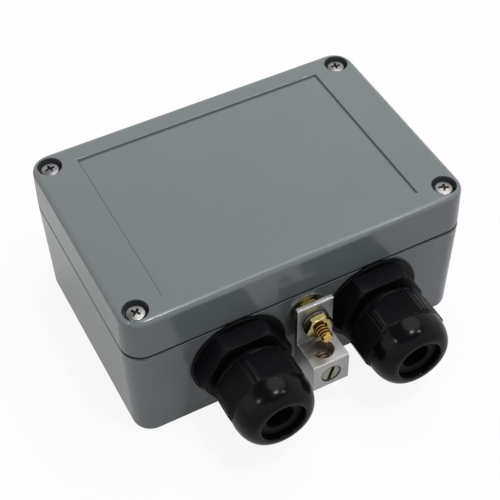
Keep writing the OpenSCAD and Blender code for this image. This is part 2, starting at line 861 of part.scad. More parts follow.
module clamp_screw() {
    color(steel)
        on_front(0, clamp_z)
            translate([0, 0, clamp_tip_w])
                difference() {
                    union() {
                        translate([0, 0, clamp_bevel])
                            cylinder(h = clamp_len - clamp_bevel, r = clamp_r);
                        cylinder(h = clamp_bevel, r1 = clamp_r - clamp_bevel, r2 = clamp_r);
                    }
                    translate([0, 0, clamp_len])
                        cube([clamp_slot, 2 * clamp_r + 1, 2.8], center = true);
                }
}

module ring_terminal() {
    color(steel) {
        on_front(0, stud_z)
            translate([0, 0, -wall_t - ring_t])
                difference() {
                    union() {
                        cylinder(h = ring_t, r = ring_r);
                        translate([-barrel_r * 0.8, barrel_top - stud_z - 0.5, 0])
                            cube([barrel_r * 1.6, ring_r, ring_t]);
                    }
                    translate([0, 0, -cut])
                        cylinder(h = ring_t + 2 * cut, r = stud_r + run_gap);
                }
        translate([0, barrel_y, barrel_low])
            ring(barrel_r, wire_r + run_gap, barrel_len);
    }
}

// A point on the smooth curve through the route, at share t of stretch i
function curve_point(p, i, t) =
    let (n = len(p) - 1,
        a = p[max(i - 1, 0)], b = p[i], c = p[i + 1], d = p[min(i + 2, n)])
    0.5 * ((2 * b) + (c - a) * t + (2 * a - 5 * b + 4 * c - d) * t * t
        + (3 * b - a - 3 * c + d) * t * t * t);

module earth_wire() {
    steps = 3;
    sides = 8;
    n = len(wire_route) - 1;
    line = concat([for (i = [0:n - 1]) for (s = [0:steps - 1]) curve_point(wire_route, i, s / steps)],
        [wire_route[n]]);
    last = len(line) - 1;
    rings = [for (i = [0:last])
        let (way = line[min(i + 1, last)] - line[max(i - 1, 0)],
            up = [0, -way[2], way[1]] / norm(way))
        for (k = [0:sides - 1])
            let (a = k * 360 / sides)
            line[i] + wire_r * (cos(a) * [1, 0, 0] + sin(a) * up)];
    walls = [for (i = [0:last - 1]) for (k = [0:sides - 1])
        let (a = i * sides + k, b = i * sides + (k + 1) % sides)
        [a, b, b + sides, a + sides]];
    color("yellowgreen")
        polyhedron(rings, concat(walls, [[for (k = [sides - 1:-1:0]) k]],
            [[for (k = [0:sides - 1]) last * sides + k]]));
}

module circuit_board() {
    color(board_green)
        translate([0, board_y, board_low])
            difference() {
                translate([-board_l / 2, -board_w / 2, 0])
                    cube([board_l, board_w, board_t]);
                at_corners(board_screw_x, board_screw_dy)
                    translate([0, 0, -cut])
                        cylinder(h = board_t + 2 * cut, r = board_screw_r + hole_gap);
            }
}

module board_screw(x, y) {
    color(steel)
        translate([x, board_y + y, board_top])
            difference() {
                union() {
                    pan_head(board_screw_r * 1.85, board_screw_r * 1.3);
                    translate([0, 0, -board_screw_len])
                        cylinder(h = board_screw_len + 0.5, r = board_screw_r);
                }
                translate([0, 0, board_screw_r * 1.3])
                    cross_recess(board_screw_r * 1.1, 0.7, board_screw_r * 0.8);
            }
}

// Folded sheet shield, open at the mouth and below
module jack_shield(side) {
    color(steel)
        translate([side * gland_x, jack_mouth_y, board_top])
            difference() {
                translate([-jack_w / 2, 0, 0])
                    cube([jack_w, jack_d, jack_h]);
                translate([-jack_w / 2 + shield_t, -cut, -cut])
                    cube([jack_w - 2 * shield_t, jack_d - shield_t + cut, jack_h - shield_t + cut]);
            }
}

module jack_body(side) {
    w = jack_w - 2 * shield_t - 2 * seat_gap;
    d = jack_d - shield_t - seat_gap;
    h = jack_h - shield_t - seat_gap;
    plug_low = 2 + latch_h;
    color(black_nylon)
        translate([side * gland_x, jack_mouth_y, board_top])
            difference() {
                translate([-w / 2, 0, 0])
                    cube([w, d, h]);
                translate([-plug_w / 2, -cut, plug_low])
                    cube([plug_w, plug_d + cut, plug_h]);
                translate([-latch_w / 2, -cut, plug_low - latch_h])
                    cube([latch_w, plug_d + cut, latch_h + cut]);
            }
}

// Spring contacts that slope down from the roof of the plug opening
module jack_contacts(side) {
    roof = 2 + latch_h + plug_h;
    color("gold")
        translate([side * gland_x, jack_mouth_y, board_top])
            for (k = [0:contact_count - 1])
                translate([(k - (contact_count - 1) / 2) * contact_pitch + contact_t / 2, 0, 0])
                    rotate([90, 0, -90])
                        linear_extrude(contact_t)
                            polygon([
                                [-3, roof], [-3, roof - contact_t], [-plug_d + 3, roof - 2.2],
                                [-plug_d, roof - 2.2], [-plug_d, roof - 2.2 + contact_t],
                                [-plug_d + 2.8, roof - 2.2 + contact_t], [-4, roof]
                            ]);
}

// Sealed three-pole gas tube on its legs, lying along X
module gas_tube(x) {
    rise = tube_r + 0.6;
    color("silver")
        translate([x, board_back_y - tube_back, board_top]) {
            translate([-tube_len / 2, 0, rise])
                rotate([0, 90, 0])
                    rotate_extrude()
                        polygon([
                            [0, 0], [tube_r, 0], [tube_r, 0.8], [tube_r - 0.3, 0.9],
                            [tube_r - 0.3, tube_len / 2 - 0.5], [tube_r, tube_len / 2 - 0.4],
                            [tube_r, tube_len / 2 + 0.4], [tube_r - 0.3, tube_len / 2 + 0.5],
                            [tube_r - 0.3, tube_len - 0.9], [tube_r, tube_len - 0.8],
                            [tube_r, tube_len], [0, tube_len]
                        ]);
            for (k = [-1, 0, 1])
                translate([k * (tube_len / 2 - 0.4), 0, 0])
                    cylinder(h = rise - tube_r + 0.5, r = 0.35);
        }
}

// Moulded diode with its two folded tags
module diode(x) {
    color([0.15, 0.15, 0.15])
        translate([x, board_back_y - diode_back, board_top]) {
            translate([-diode_l / 2, -diode_w / 2, 0.2])
                cube([diode_l, diode_w, diode_h - 0.2]);
            for (side = [-1, 1])
                translate([side * diode_l / 2, 0, 0.6])
                    cube([1, diode_w / 2, 1.2], center = true);
        }
}

module terminal_block() {
    color("seagreen")
        translate([0, terminal_y, 0])
            difference() {
                translate([-block_l / 2, 0, board_top])
                    cube([block_l, terminal_d, terminal_h]);
                translate([0, -cut, terminal_wire_z])
                    rotate([-90, 0, 0])
                        cylinder(h = terminal_d - 2, r = wire_r + 0.3);
                translate([0, terminal_d / 2, board_top + terminal_h / 2 + 1.5])
                    cylinder(h = terminal_h, r = 2 + run_gap);
            }
}

module terminal_screw() {
    color(steel)
        translate([0, terminal_y + terminal_d / 2, board_top + terminal_h / 2 + 1.5])
            difference() {
                cylinder(h = terminal_h / 2 - 2, r = 2);
                translate([0, 0, terminal_h / 2 - 2])
                    cube([5, 0.8, 1.6], center = true);
            }
}

// Gas tubes, and diodes, one of each for every pair of lines
line_count = 4;
// Corner signs for the four screws, counted from the front left
corner_x = [-1, 1, -1, 1];
corner_y = [-1, -1, 1, 1];

enclosure_base();
enclosure_lid();
lid_seal();
for (i = [0:3]) {
    sx = corner_x[i];
    sy = corner_y[i];
    lid_screw(sx * screw_x, sy * screw_y);
    screw_keeper(sx * screw_x, sy * screw_y);
    thread_insert(sx * screw_x, sy * screw_y);
    board_screw(sx * board_screw_x, sy * board_screw_dy);
}
gland_body(-1);  // gland_body_left
gland_body(1);  // gland_body_right
gland_washer(-1);  // gland_washer_left
gland_washer(1);  // gland_washer_right
gland_locknut(-1);  // gland_locknut_left
gland_locknut(1);  // gland_locknut_right
gland_nut(-1, left_turn);  // gland_nut_left
gland_nut(1, right_turn);  // gland_nut_right
gland_seal(-1);  // gland_seal_left
gland_seal(1);  // gland_seal_right
earth_stud();
wall_washer();
stud_nut(wall_nut_w, 0);  // wall_nut
tooth_washer();
earth_lug();
split_washer();
stud_nut(outer_nut_w, outer_nut_turn);  // lug_nut
clamp_screw();
ring_terminal();
earth_wire();
circuit_board();
jack_shield(-1);  // jack_shield_left
jack_shield(1);  // jack_shield_right
jack_body(-1);  // jack_body_left
jack_body(1);  // jack_body_right
jack_contacts(-1);  // jack_contacts_left
jack_contacts(1);  // jack_contacts_right
for (i = [0:line_count - 1]) {
    x = (2 * i / (line_count - 1) - 1) * (board_screw_x - surge_inset);
    gas_tube(x);
    diode(x);
}
terminal_block();
terminal_screw();
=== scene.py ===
import json
from math import cos, degrees, hypot, pi, radians, sin

import bmesh
import bpy
from mathutils import Matrix, Vector

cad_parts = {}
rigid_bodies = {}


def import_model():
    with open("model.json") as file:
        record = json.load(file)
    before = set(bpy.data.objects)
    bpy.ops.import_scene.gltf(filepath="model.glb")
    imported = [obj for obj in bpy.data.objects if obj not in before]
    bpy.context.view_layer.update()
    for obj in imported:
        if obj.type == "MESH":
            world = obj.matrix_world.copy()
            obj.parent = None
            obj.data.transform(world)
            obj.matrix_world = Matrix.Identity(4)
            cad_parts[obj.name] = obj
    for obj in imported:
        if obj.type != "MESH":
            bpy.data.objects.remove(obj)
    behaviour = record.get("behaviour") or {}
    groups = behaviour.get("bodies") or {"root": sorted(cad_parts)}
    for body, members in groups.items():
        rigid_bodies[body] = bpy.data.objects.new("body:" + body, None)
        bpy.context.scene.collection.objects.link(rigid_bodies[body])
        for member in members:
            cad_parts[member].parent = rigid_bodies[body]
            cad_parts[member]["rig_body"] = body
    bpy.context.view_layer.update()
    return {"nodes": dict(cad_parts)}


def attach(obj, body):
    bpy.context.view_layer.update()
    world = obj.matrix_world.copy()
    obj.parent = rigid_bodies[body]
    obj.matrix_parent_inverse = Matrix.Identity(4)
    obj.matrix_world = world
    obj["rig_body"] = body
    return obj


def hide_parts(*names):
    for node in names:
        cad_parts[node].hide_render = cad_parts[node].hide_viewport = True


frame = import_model()
MM = 0.001

# ---------------------------------------------------------------- studio
# The camera looks down on the box from the front left, through a long lens. The box stands on white
# paper. A broad soft light hangs overhead, half of it scattered so that it shows in no reflection,
# with a warm window low on the left and three small lamps whose points of light show on the domes.
back_turn, back_rise, camera_roll = radians(-26.572), radians(48.283), radians(-1.419)
away = Vector((sin(back_turn) * cos(back_rise), -cos(back_turn) * cos(back_rise), sin(back_rise)))
level_right = (-away).cross(Vector((0, 0, 1))).normalized()
level_up = level_right.cross(-away)
view_right = level_right * cos(camera_roll) + level_up * sin(camera_roll)
view_up = level_up * cos(camera_roll) - level_right * sin(camera_roll)
lens_data = bpy.data.cameras.new("camera")
lens_data.sensor_fit = "HORIZONTAL"
SENSOR, FOCAL_PIXELS, FRAME_PIXELS = 36, 1233.297, 500
lens_data.sensor_width = SENSOR
lens_data.lens = SENSOR * FOCAL_PIXELS / FRAME_PIXELS
lens_data.clip_start = 0.01
camera = bpy.data.objects.new("camera", lens_data)
bpy.context.scene.collection.objects.link(camera)
looked_at, camera_reach = Vector((0.001241, 0, 0.018351)), 0.424453
camera.matrix_world = Matrix.Translation(looked_at + away * camera_reach) @ Matrix(
    [[view_right[i], view_up[i], away[i]] for i in range(3)]
).to_4x4()
bpy.context.scene.camera = camera
bpy.context.scene.view_settings.view_transform = "Standard"


class Wire:
    """A socket that takes part in arithmetic: each operation adds its Math node."""

    def __init__(self, tree, socket):
        self.tree = tree
        self.socket = socket

    def math(self, operation, *others):
        return self.tree.maths(operation, self, *others)

    def __add__(self, other):
        return self.math("ADD", other)

    def __sub__(self, other):
        return self.math("SUBTRACT", other)

    def __rsub__(self, other):
        return self.tree.maths("SUBTRACT", other, self)

    def __mul__(self, other):
        return self.math("MULTIPLY", other)

    def __truediv__(self, other):
        return self.math("DIVIDE", other)

    def __gt__(self, other):
        return self.math("GREATER_THAN", other)

    def __lt__(self, other):
        return self.math("LESS_THAN", other)

    __radd__ = __add__
    __rmul__ = __mul__


class Tree:
    """A node tree, with one method that adds any node and one that reckons."""

    def __init__(self, tree):
        self.tree = tree

    def node(self, kind, settings=None, inputs=None, out=0):
        made = self.tree.nodes.new(kind)
        for key, value in (settings or {}).items():
            setattr(made, key, value)
        for key, value in (inputs or {}).items():
            if isinstance(value, Wire):
                self.tree.links.new(value.socket, made.inputs[key])
            else:
                made.inputs[key].default_value = value
        if isinstance(out, (list, tuple)):
            return [Wire(self, made.outputs[key]) for key in out]
        return Wire(self, made.outputs[out]) if made.outputs else made

    def maths(self, operation, *values):
        return self.node("ShaderNodeMath", {"operation": operation}, dict(enumerate(values)))

    def smooth(self, value, low, high):
        return self.node(
            "ShaderNodeMapRange",
            {"interpolation_type": "SMOOTHSTEP"},
            {"Value": value, "From Min": low, "From Max": high},
        )

    def colour(self, share, first, second):
        return self.node(
            "ShaderNodeMix",
            {"data_type": "RGBA"},
            {0: share, 6: first if isinstance(first, Wire) else (*first, 1),
             7: second if isinstance(second, Wire) else (*second, 1)},
            out=2,
        )


class Look(Tree):
    """A finish: a material with its shader, and the place of each point on the object."""

    def __init__(self, name, **sockets):
        self.material = bpy.data.materials.new(name)
        self.material.use_nodes = True
        self.material.node_tree.nodes.clear()
        super().__init__(self.material.node_tree)
        self.shader = self.tree.nodes.new("ShaderNodeBsdfPrincipled")
        output = self.tree.nodes.new("ShaderNodeOutputMaterial")
        self.tree.links.new(self.shader.outputs[0], output.inputs["Surface"])
        self.place = self.node("ShaderNodeTexCoord", out="Object")
        for key, value in sockets.items():
            self.put(key.replace("_", " "), value)

    def put(self, key, value):
        if isinstance(value, Wire):
            self.tree.links.new(value.socket, self.shader.inputs[key])
        else:
            self.shader.inputs[key].default_value = value

    def noise(self, grain, detail=3.0, rough=0.5, stretch=(1, 1, 1)):
        """Noise with lumps of that size in millimetres, drawn out by stretch along each axis."""
        scale = [1000 / grain / s for s in stretch]
        place = self.node("ShaderNodeMapping", {}, {"Vector": self.place, "Scale": scale})
        values = {"Vector": place, "Scale": 1.0, "Detail": detail, "Roughness": rough}
        return self.node("ShaderNodeTexNoise", {}, values)

    def edges(self, radius_mm):
        """1 along the edges, where the faces turn within that radius, and 0 on open faces."""
        turned = self.node("ShaderNodeBevel", {"samples": 8}, {"Radius": radius_mm * MM})
        flat = self.node("ShaderNodeNewGeometry", out="True Normal")
        along = self.node(
            "ShaderNodeVectorMath", {"operation": "DOT_PRODUCT"}, {0: turned, 1: flat}, out="Value"
        )
        return self.smooth(1 - along, 0.01, 0.09)

    def surface(self, height, depth_mm, edge_mm=0.0):
        """Bump by that depth in millimetres, on edges rounded to that radius."""
        inputs = {"Height": height, "Strength": 1.0, "Distance": depth_mm * MM}
        if edge_mm:
            corner = {"Radius": edge_mm * MM}
            inputs["Normal"] = self.node("ShaderNodeBevel", {"samples": 6}, corner)
        self.put("Normal", self.node("ShaderNodeBump", {}, inputs))


room = bpy.data.worlds.new("room")
room.use_nodes = True
bpy.context.scene.world = room
room.node_tree.nodes.clear()
air = Tree(room.node_tree)


def sees_backdrop(tree):
    """1 for the rays that show a pale backdrop: the camera's, a mirror's and a glass's."""
    camera_ray, mirror_ray, glass_ray = tree.node(
        "ShaderNodeLightPath", out=("Is Camera Ray", "Is Glossy Ray", "Is Transmission Ray"))
    return camera_ray.math("MAXIMUM", mirror_ray).math("MAXIMUM", glass_ray)


skyward = air.node("ShaderNodeTexCoord", out="Generated")
rise = air.node("ShaderNodeSeparateXYZ", {}, {0: skyward}, out=2)
backdrop = air.node("ShaderNodeBackground", {}, {"Color": (1, 1, 1, 1), "Strength": 1.0})
dim_room = air.node("ShaderNodeBackground", {}, {"Color": (0.94, 0.98, 1, 1), "Strength": 0.15})
low_down = 1 - air.smooth(rise, 0.6, 0.8)
backdrop_seen = sees_backdrop(air) * low_down
sky = air.node("ShaderNodeMixShader", {}, {0: backdrop_seen, 1: dim_room, 2: backdrop})
air.node("ShaderNodeOutputWorld", {}, {"Surface": sky})


def soft_lamp(name, turn, height, distance, size, power, colour=(1, 1, 1), aim=(0, -0.02, 0.03)):
    """A lamp at that angle from the front, towards the right, and that height in degrees."""
    data = bpy.data.lights.new(name, "AREA")
    data.shape = "ELLIPSE"
    data.size, data.size_y = size
    data.energy = power
    data.color = colour
    lamp = bpy.data.objects.new(name, data)
    bpy.context.scene.collection.objects.link(lamp)
    turn, height = radians(turn), radians(height)
    toward = Vector((sin(turn) * cos(height), -cos(turn) * cos(height), sin(height)))
    lamp.location = Vector(aim) + toward * distance
    lamp.rotation_euler = toward.to_track_quat("Z", "Y").to_euler()
    return lamp


for name, power, mirrored in (("overhead", 4.0, True), ("scattered", 3.2, False)):
    soft_lamp(name, 116, 70, 1.0, (0.8, 0.8), power).visible_glossy = mirrored
soft_lamp("window", -96, 24, 0.9, (0.8, 0.5), 0.4, (1, 0.9, 0.78))
soft_lamp("left_lamp", -77, 46, 1.0, (0.08, 0.08), 0.9)
soft_lamp("front_lamp", 25, 73, 1.0, (0.07, 0.07), 2.3)
soft_lamp("right_lamp", 49, 56, 1.0, (0.07, 0.07), 0.8)

table = bpy.data.meshes.new("table")
table.from_pydata([(-4, -4, 0), (4, -4, 0), (4, 4, 0), (-4, 4, 0)], [], [(0, 1, 2, 3)])
table_top = bpy.data.objects.new("table", table)
bpy.context.scene.collection.objects.link(table_top)
paper = bpy.data.materials.new("paper")
paper.use_nodes = True
paper.node_tree.nodes.clear()
sheet = Tree(paper.node_tree)
fibres = sheet.node("ShaderNodeTexNoise", {}, {"Scale": 40.0})
grey = sheet.colour(fibres, (0.55, 0.55, 0.55), (0.57, 0.57, 0.57))
grey_paper = sheet.node("ShaderNodeBsdfDiffuse", {}, {"Color": grey})
seen = sheet.node("ShaderNodeLightPath", out="Is Camera Ray")
white = sheet.colour(seen, (0.84, 0.84, 0.84), (1, 1, 1))
white_paper = sheet.node("ShaderNodeBsdfDiffuse", {}, {"Color": white})
lit_paper = sheet.node("ShaderNodeEmission", {}, {"Color": white, "Strength": 1.0})
pale = sheet.node("ShaderNodeMixShader", {}, {0: 0.5 + 0.4 * seen, 1: white_paper, 2: lit_paper})
both = sheet.node("ShaderNodeMixShader", {}, {0: sees_backdrop(sheet), 1: grey_paper, 2: pale})
sheet.node("ShaderNodeOutputMaterial", {}, {"Surface": both})
table.materials.append(paper)

# ---------------------------------------------------------------- base of the case
# The base is one injection moulding in grey glass-filled plastic: drafted walls, a rounded foot, a
# wiring chamber with seal walls, and end pockets for the screws. Its skin is finely eroded. Painted
# shade darkens the line under the lid, a band round the foot of the lid panel's rim and the screws'
# counterbores, and a painted highlight runs along the base's rim below that line.
CORE_X, CORE_Y, RIM_Z = 52.75, 33.25, 38.85
SCREW_X, SCREW_Y, BORE_R, LID_TOP = 53.8, 34.1, 4.1, 55.0
PANEL_X, PANEL_Y = 44.7, 32.7
case_look = Look("case_plastic_finish", IOR=1.46)
cloud = case_look.noise(22, 4.0)
speck = case_look.noise(0.45, 2.0)
x, y, z = case_look.node("ShaderNodeSeparateXYZ", {}, {0: case_look.place}, out=(0, 1, 2))
from_screw_x, from_screw_y = x.math("ABSOLUTE") - SCREW_X * MM, y.math("ABSOLUTE") - SCREW_Y * MM
from_screw = (from_screw_x * from_screw_x + from_screw_y * from_screw_y).math("SQRT")
deep_down = case_look.smooth(z, (LID_TOP - 0.15) * MM, (LID_TOP - 0.8) * MM)
# painted shade: the floor and walls of each screw counterbore are coloured darker
counterbore_shade = (from_screw < (BORE_R + 0.02) * MM) * (z > 45 * MM) * deep_down
plastic = case_look.colour(cloud * 0.5 + speck * 0.5, (0.178, 0.204, 0.213), (0.206, 0.234, 0.243))
rim_x, rim_y = PANEL_X * MM - x.math("ABSOLUTE"), PANEL_Y * MM - y.math("ABSOLUTE")
to_rim = rim_x.math("MINIMUM", rim_y)
# painted shade: a dark band along the foot of the sunk panel's step
panel_step_shade = (to_rim > 0.05 * MM) * (to_rim < 0.5 * MM) * (z > 53.9 * MM) * 0.45
plastic = case_look.colour(panel_step_shade, plastic, (0.05, 0.058, 0.06))
# painted shade: a dark line in the gap under the lid
seam_shade = (z > (RIM_Z - 0.65) * MM) * (z < (RIM_Z + 0.05) * MM) * 0.5
plastic = case_look.colour(seam_shade, plastic, (0.03, 0.035, 0.037))
# painted highlight: a lighter band along the base's rim just below the gap
rim_highlight = (z > (RIM_Z - 1.15) * MM) * (z < (RIM_Z - 0.65) * MM) * 0.35
plastic = case_look.colour(rim_highlight, plastic, (0.36, 0.39, 0.40))
case_look.put("Base Color", case_look.colour(counterbore_shade, plastic, (0.085, 0.096, 0.100)))
case_look.put("Roughness", 0.11 + 0.07 * case_look.noise(9, 4.0) + 0.04 * speck)
case_look.surface(case_look.noise(0.3, 2.0) * 0.5 + case_look.noise(4, 2.0) * 0.5, 0.006, 0.12)


def body_of(node):
    return frame["nodes"][node]["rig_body"]


def settled(carrier):
    """The carrier's finished mesh, with its modifiers worked in; the carrier goes."""
    bpy.context.view_layer.update()
    graph = bpy.context.evaluated_depsgraph_get()
    mesh = bpy.data.meshes.new_from_object(carrier.evaluated_get(graph))
    bpy.data.objects.remove(carrier)
    return mesh


def carried(mesh):
    carrier = bpy.data.objects.new("carrier", mesh)
    bpy.context.scene.collection.objects.link(carrier)
    return carrier


def merged(name, sources, place=None, dissolve=False):
    """One mesh of several, with its doubles merged."""
    shape = bmesh.new()
    for source in sources:
        shape.from_mesh(source)
    bmesh.ops.remove_doubles(shape, verts=shape.verts, dist=1e-6)
    if dissolve:
        flat = radians(0.4)
        bmesh.ops.dissolve_limit(shape, angle_limit=flat, verts=shape.verts, edges=shape.edges)
    shape.transform(place or Matrix.Identity(4))
    shape.verts.index_update()
    mesh = bpy.data.meshes.new(name)
    faces = [[v.index for v in f.verts] for f in shape.faces]
    mesh.from_pydata([v.co for v in shape.verts], [], faces)
    shape.free()
    return mesh


def piece(name, mesh, look, nodes, crease=32):
    """Puts a finished mesh in the scene, smooth between creases, in place of its CAD nodes."""
    mesh.shade_smooth()
    mesh.set_sharp_from_angle(angle=radians(crease))
    carrier = carried(mesh)
    weigh = carrier.modifiers.new("even", "WEIGHTED_NORMAL")
    weigh.keep_sharp = True
    mesh = settled(carrier)
    mesh.name = name
    mesh.materials.clear()
    mesh.materials.append(look.material)
    obj = bpy.data.objects.new(name, mesh)
    bpy.context.scene.collection.objects.link(obj)
    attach(obj, body_of(nodes[0]))
    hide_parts(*nodes)
    return obj


def rounded(mesh, test, width):
    """The mesh, with each edge whose ends pass the test rounded by that width in millimetres."""
    shape = bmesh.new()
    shape.from_mesh(mesh)
    picked = [e for e in shape.edges
              if e.calc_face_angle(0) > 0.6 and all(test(*(v.co / MM)) for v in e.verts)]
    bmesh.ops.bevel(shape, geom=picked, offset=width * MM, offset_type="OFFSET", segments=3,
                    profile=0.5, affect="EDGES", clamp_overlap=True)
    shape.to_mesh(mesh)
    shape.free()
    return mesh


def from_cad(node, look, crease=32):
    """A CAD node's own shape, merged and shaded smooth."""
    mesh = merged(node, [frame["nodes"][node].data], dissolve=True)
    return piece(node + "_finished", mesh, look, [node], crease)


def past_core(x, y):
    """How far a point lies outside the rectangle through the centres of the case's corners."""
    return hypot(max(abs(x) - CORE_X, 0), max(abs(y) - CORE_Y, 0))


FOOT_REACH, RIM_GROWTH, FRONT_GROWTH = 6.45, 0.33, 0.22
base_shell = merged("enclosure_base", [frame["nodes"]["enclosure_base"].data], dissolve=True)
for vert in base_shell.vertices:
    x, y, z = vert.co / MM
    reach = past_core(x, y)
    if z > 0.95 and reach > FOOT_REACH + 0.4 * z / 39.5:
        core = Vector((max(-CORE_X, min(CORE_X, x)), max(-CORE_Y, min(CORE_Y, y)), z)) * MM
        to_front = max(0, -CORE_Y - y) / reach
        growth = (RIM_GROWTH + FRONT_GROWTH * to_front) * z / RIM_Z
        vert.co = core + (vert.co - core) * (1 + growth / reach)
base_shell = rounded(
    base_shell, lambda x, y, z: abs(z - RIM_Z) < 0.02 and past_core(x, y) > 6.7, 0.3)
piece("enclosure_base_finished", base_shell, case_look, ["enclosure_base"])

# ---------------------------------------------------------------- lid
# The lid is moulded in the same plastic, with a softly rounded top edge, a sunk panel and a
# counterbore at each corner. Below it carries a groove, in which the seal is foamed in place.
LID_RIM, PANEL_DEPTH, NEAR = 39.8, 0.6, 0.02
lid_shell = merged("enclosure_lid", [frame["nodes"]["enclosure_lid"].data], dissolve=True)


def on_panel(x, y):
    return abs(x) < PANEL_X + NEAR and abs(y) < PANEL_Y + NEAR


def on_bore(x, y):
    return abs(hypot(abs(x) - SCREW_X, abs(y) - SCREW_Y) - BORE_R) < 0.05


for vert in lid_shell.vertices:
    x, y, z = vert.co / MM
    if abs(z - LID_TOP + PANEL_DEPTH) < NEAR and on_panel(x, y):
        vert.co.z -= 0.3 * MM
for test, width in (
    (lambda x, y, z: abs(z - LID_RIM) < NEAR and past_core(x, y) > 7.0, 0.12),
    (lambda x, y, z: abs(z - LID_TOP) < NEAR and on_panel(x, y), 0.3),
    (lambda x, y, z: abs(z - LID_TOP) < NEAR and on_bore(x, y), 0.25),
):
    lid_shell = rounded(lid_shell, test, width)
piece("enclosure_lid_finished", lid_shell, case_look, ["enclosure_lid"])
foam_look = Look("seal_foam_finish", Roughness=0.85)
cells = foam_look.noise(0.35, 3.0)
foam_look.put("Base Color", foam_look.colour(cells, (0.02, 0.02, 0.02), (0.05, 0.05, 0.05)))
foam_look.surface(cells, 0.06)


def dress(node, look):
    for slot in frame["nodes"][node].material_slots:
        slot.material = look.material


dress("lid_seal", foam_look)

# ---------------------------------------------------------------- lid screws, keepers and inserts
# Four M4 stainless pan heads with a cross recess hold the lid. A nylon keeper on each shank keeps
# the screw in the lid, and each one turns into a brass insert moulded into the base.
SCREW_SEAT = 51.4
CORNERS = [(x, y) for y in (-SCREW_Y, SCREW_Y) for x in (-SCREW_X, SCREW_X)]


def rings(profile, around, radius_at=None, closed=True):
    """A turned shape: (station, radius, flat) rings joined round the Z axis, in metres."""
    points, faces = [], []
    radius_at = radius_at or (lambda angle, r, flat: r)
    for z, r, *flat in profile:
        for angle in around:
            reach = radius_at(angle, r, flat[0] if flat else 0) * MM
            points.append((reach * cos(angle), reach * sin(angle), z * MM))
    n, rows = len(around), len(profile)
    for row in range(rows if closed else rows - 1):
        low, high = row * n, (row + 1) % rows * n
        for k in range(n):
            faces.append((low + k, low + (k + 1) % n, high + (k + 1) % n, high + k))
    mesh = bpy.data.meshes.new("rings")
    mesh.from_pydata(points, [], faces)
    shape = bmesh.new()
    shape.from_mesh(mesh)
    bmesh.ops.remove_doubles(shape, verts=shape.verts, dist=1e-7)
    bmesh.ops.dissolve_degenerate(shape, edges=shape.edges, dist=1e-8)
    bmesh.ops.recalc_face_normals(shape, faces=shape.faces)
    shape.to_mesh(mesh)
    shape.free()
    return mesh


def evenly(count, turn=0.0):
    return [turn + 2 * pi * k / count for k in range(count)]


def without(mesh, *cutters):
    """The mesh with each cutter's shape taken out of it."""
    carrier = carried(mesh)
    tools = []
    for cutter in cutters:
        tool = carried(cutter)
        tools.append(tool)
        cut = carrier.modifiers.new("cut", "BOOLEAN")
        cut.operation, cut.solver, cut.object = "DIFFERENCE", "EXACT", tool
    result = settled(carrier)
    for tool in tools:
        bpy.data.objects.remove(tool)
    return result


def bar(size, centre, taper=1.0, turn=0.0):
    """A block whose lower end is drawn in by taper, in millimetres, turned about Z."""
    shape = bmesh.new()
    bmesh.ops.create_cube(shape, size=1.0)
    for v in shape.verts:
        pull = taper if v.co.z < 0 else 1.0
        v.co = Vector((v.co.x * size[0] * pull, v.co.y * size[1] * pull, v.co.z * size[2])) * MM
    shape.transform(Matrix.Rotation(turn, 4, "Z") @ Matrix.Translation(Vector(centre) * MM))
    mesh = bpy.data.meshes.new("bar")
    shape.to_mesh(mesh)
    shape.free()
    return mesh


thread_group = bpy.data.node_groups.new("thread", "GeometryNodeTree")
for label, kind in (("Radius", "Float"), ("Pitch", "Float"), ("Turns", "Float"), ("Ridge", "Float"),
                    ("Sharpness", "Float"), ("Finish", "Material")):
    thread_group.interface.new_socket(name=label, in_out="INPUT", socket_type="NodeSocket" + kind)
thread_group.interface.new_socket(name="Thread", in_out="OUTPUT", socket_type="NodeSocketGeometry")
grow = Tree(thread_group)
radius, pitch, turns, ridge, sharpness, finish = grow.node(
    "NodeGroupInput", out=("Radius", "Pitch", "Turns", "Ridge", "Sharpness", "Finish"))
helix = grow.node("GeometryNodeCurveSpiral", {}, {
    "Resolution": 28, "Rotations": turns, "Start Radius": radius, "End Radius": radius,
    "Height": pitch * turns})
helix = grow.node("GeometryNodeSetCurveNormal", {"mode": "Z_UP"}, {"Curve": helix})
crest = grow.node("GeometryNodeCurvePrimitiveCircle", {"mode": "RADIUS"}, {
    "Resolution": 4, "Radius": ridge})
crest = grow.node("GeometryNodeTransform", {}, {
    "Geometry": crest,
    "Scale": grow.node("ShaderNodeCombineXYZ", {}, {0: 1.0, 1: sharpness, 2: 1.0})})
swept = grow.node("GeometryNodeCurveToMesh", {}, {
    "Curve": helix, "Profile Curve": crest, "Fill Caps": True})
swept = grow.node("GeometryNodeRealizeInstances", {}, {0: swept})
swept = grow.node("GeometryNodeSetMaterial", {}, {"Geometry": swept, "Material": finish})
grow.node("NodeGroupOutput", {}, {"Thread": swept})


def grown(group, values):
    """The mesh that a node group makes from the values of its named inputs."""
    carrier = carried(bpy.data.meshes.new("carrier"))
    modifier = carrier.modifiers.new("grow", "NODES")
    modifier.node_group = group
    for item in group.interface.items_tree:
        if item.in_out == "INPUT":
            modifier[item.identifier] = values[item.name]
    return settled(carrier)


def thread(low, high, crest_r, depth, step, look, sharp=0.62):
    """A helical ridge between two stations, whose crest lies at crest_r, in millimetres."""
    mesh = grown(thread_group, {
        "Radius": (crest_r - depth) * MM, "Pitch": step * MM, "Turns": (high - low) / step,
        "Ridge": depth * MM, "Sharpness": sharp, "Finish": look.material})
    mesh.transform(Matrix.Translation((0, 0, low * MM)))
    return mesh


steel_look = Look("stainless_finish", Metallic=1.0)
rub = steel_look.noise(0.5, 3.0)
steel = steel_look.colour(steel_look.noise(2.5), (0.22, 0.212, 0.204), (0.42, 0.41, 0.40))
steel_look.put("Base Color", steel)
steel_look.put("Roughness", 0.22 + 0.16 * rub)
steel_look.surface(rub, 0.006, 0.12)

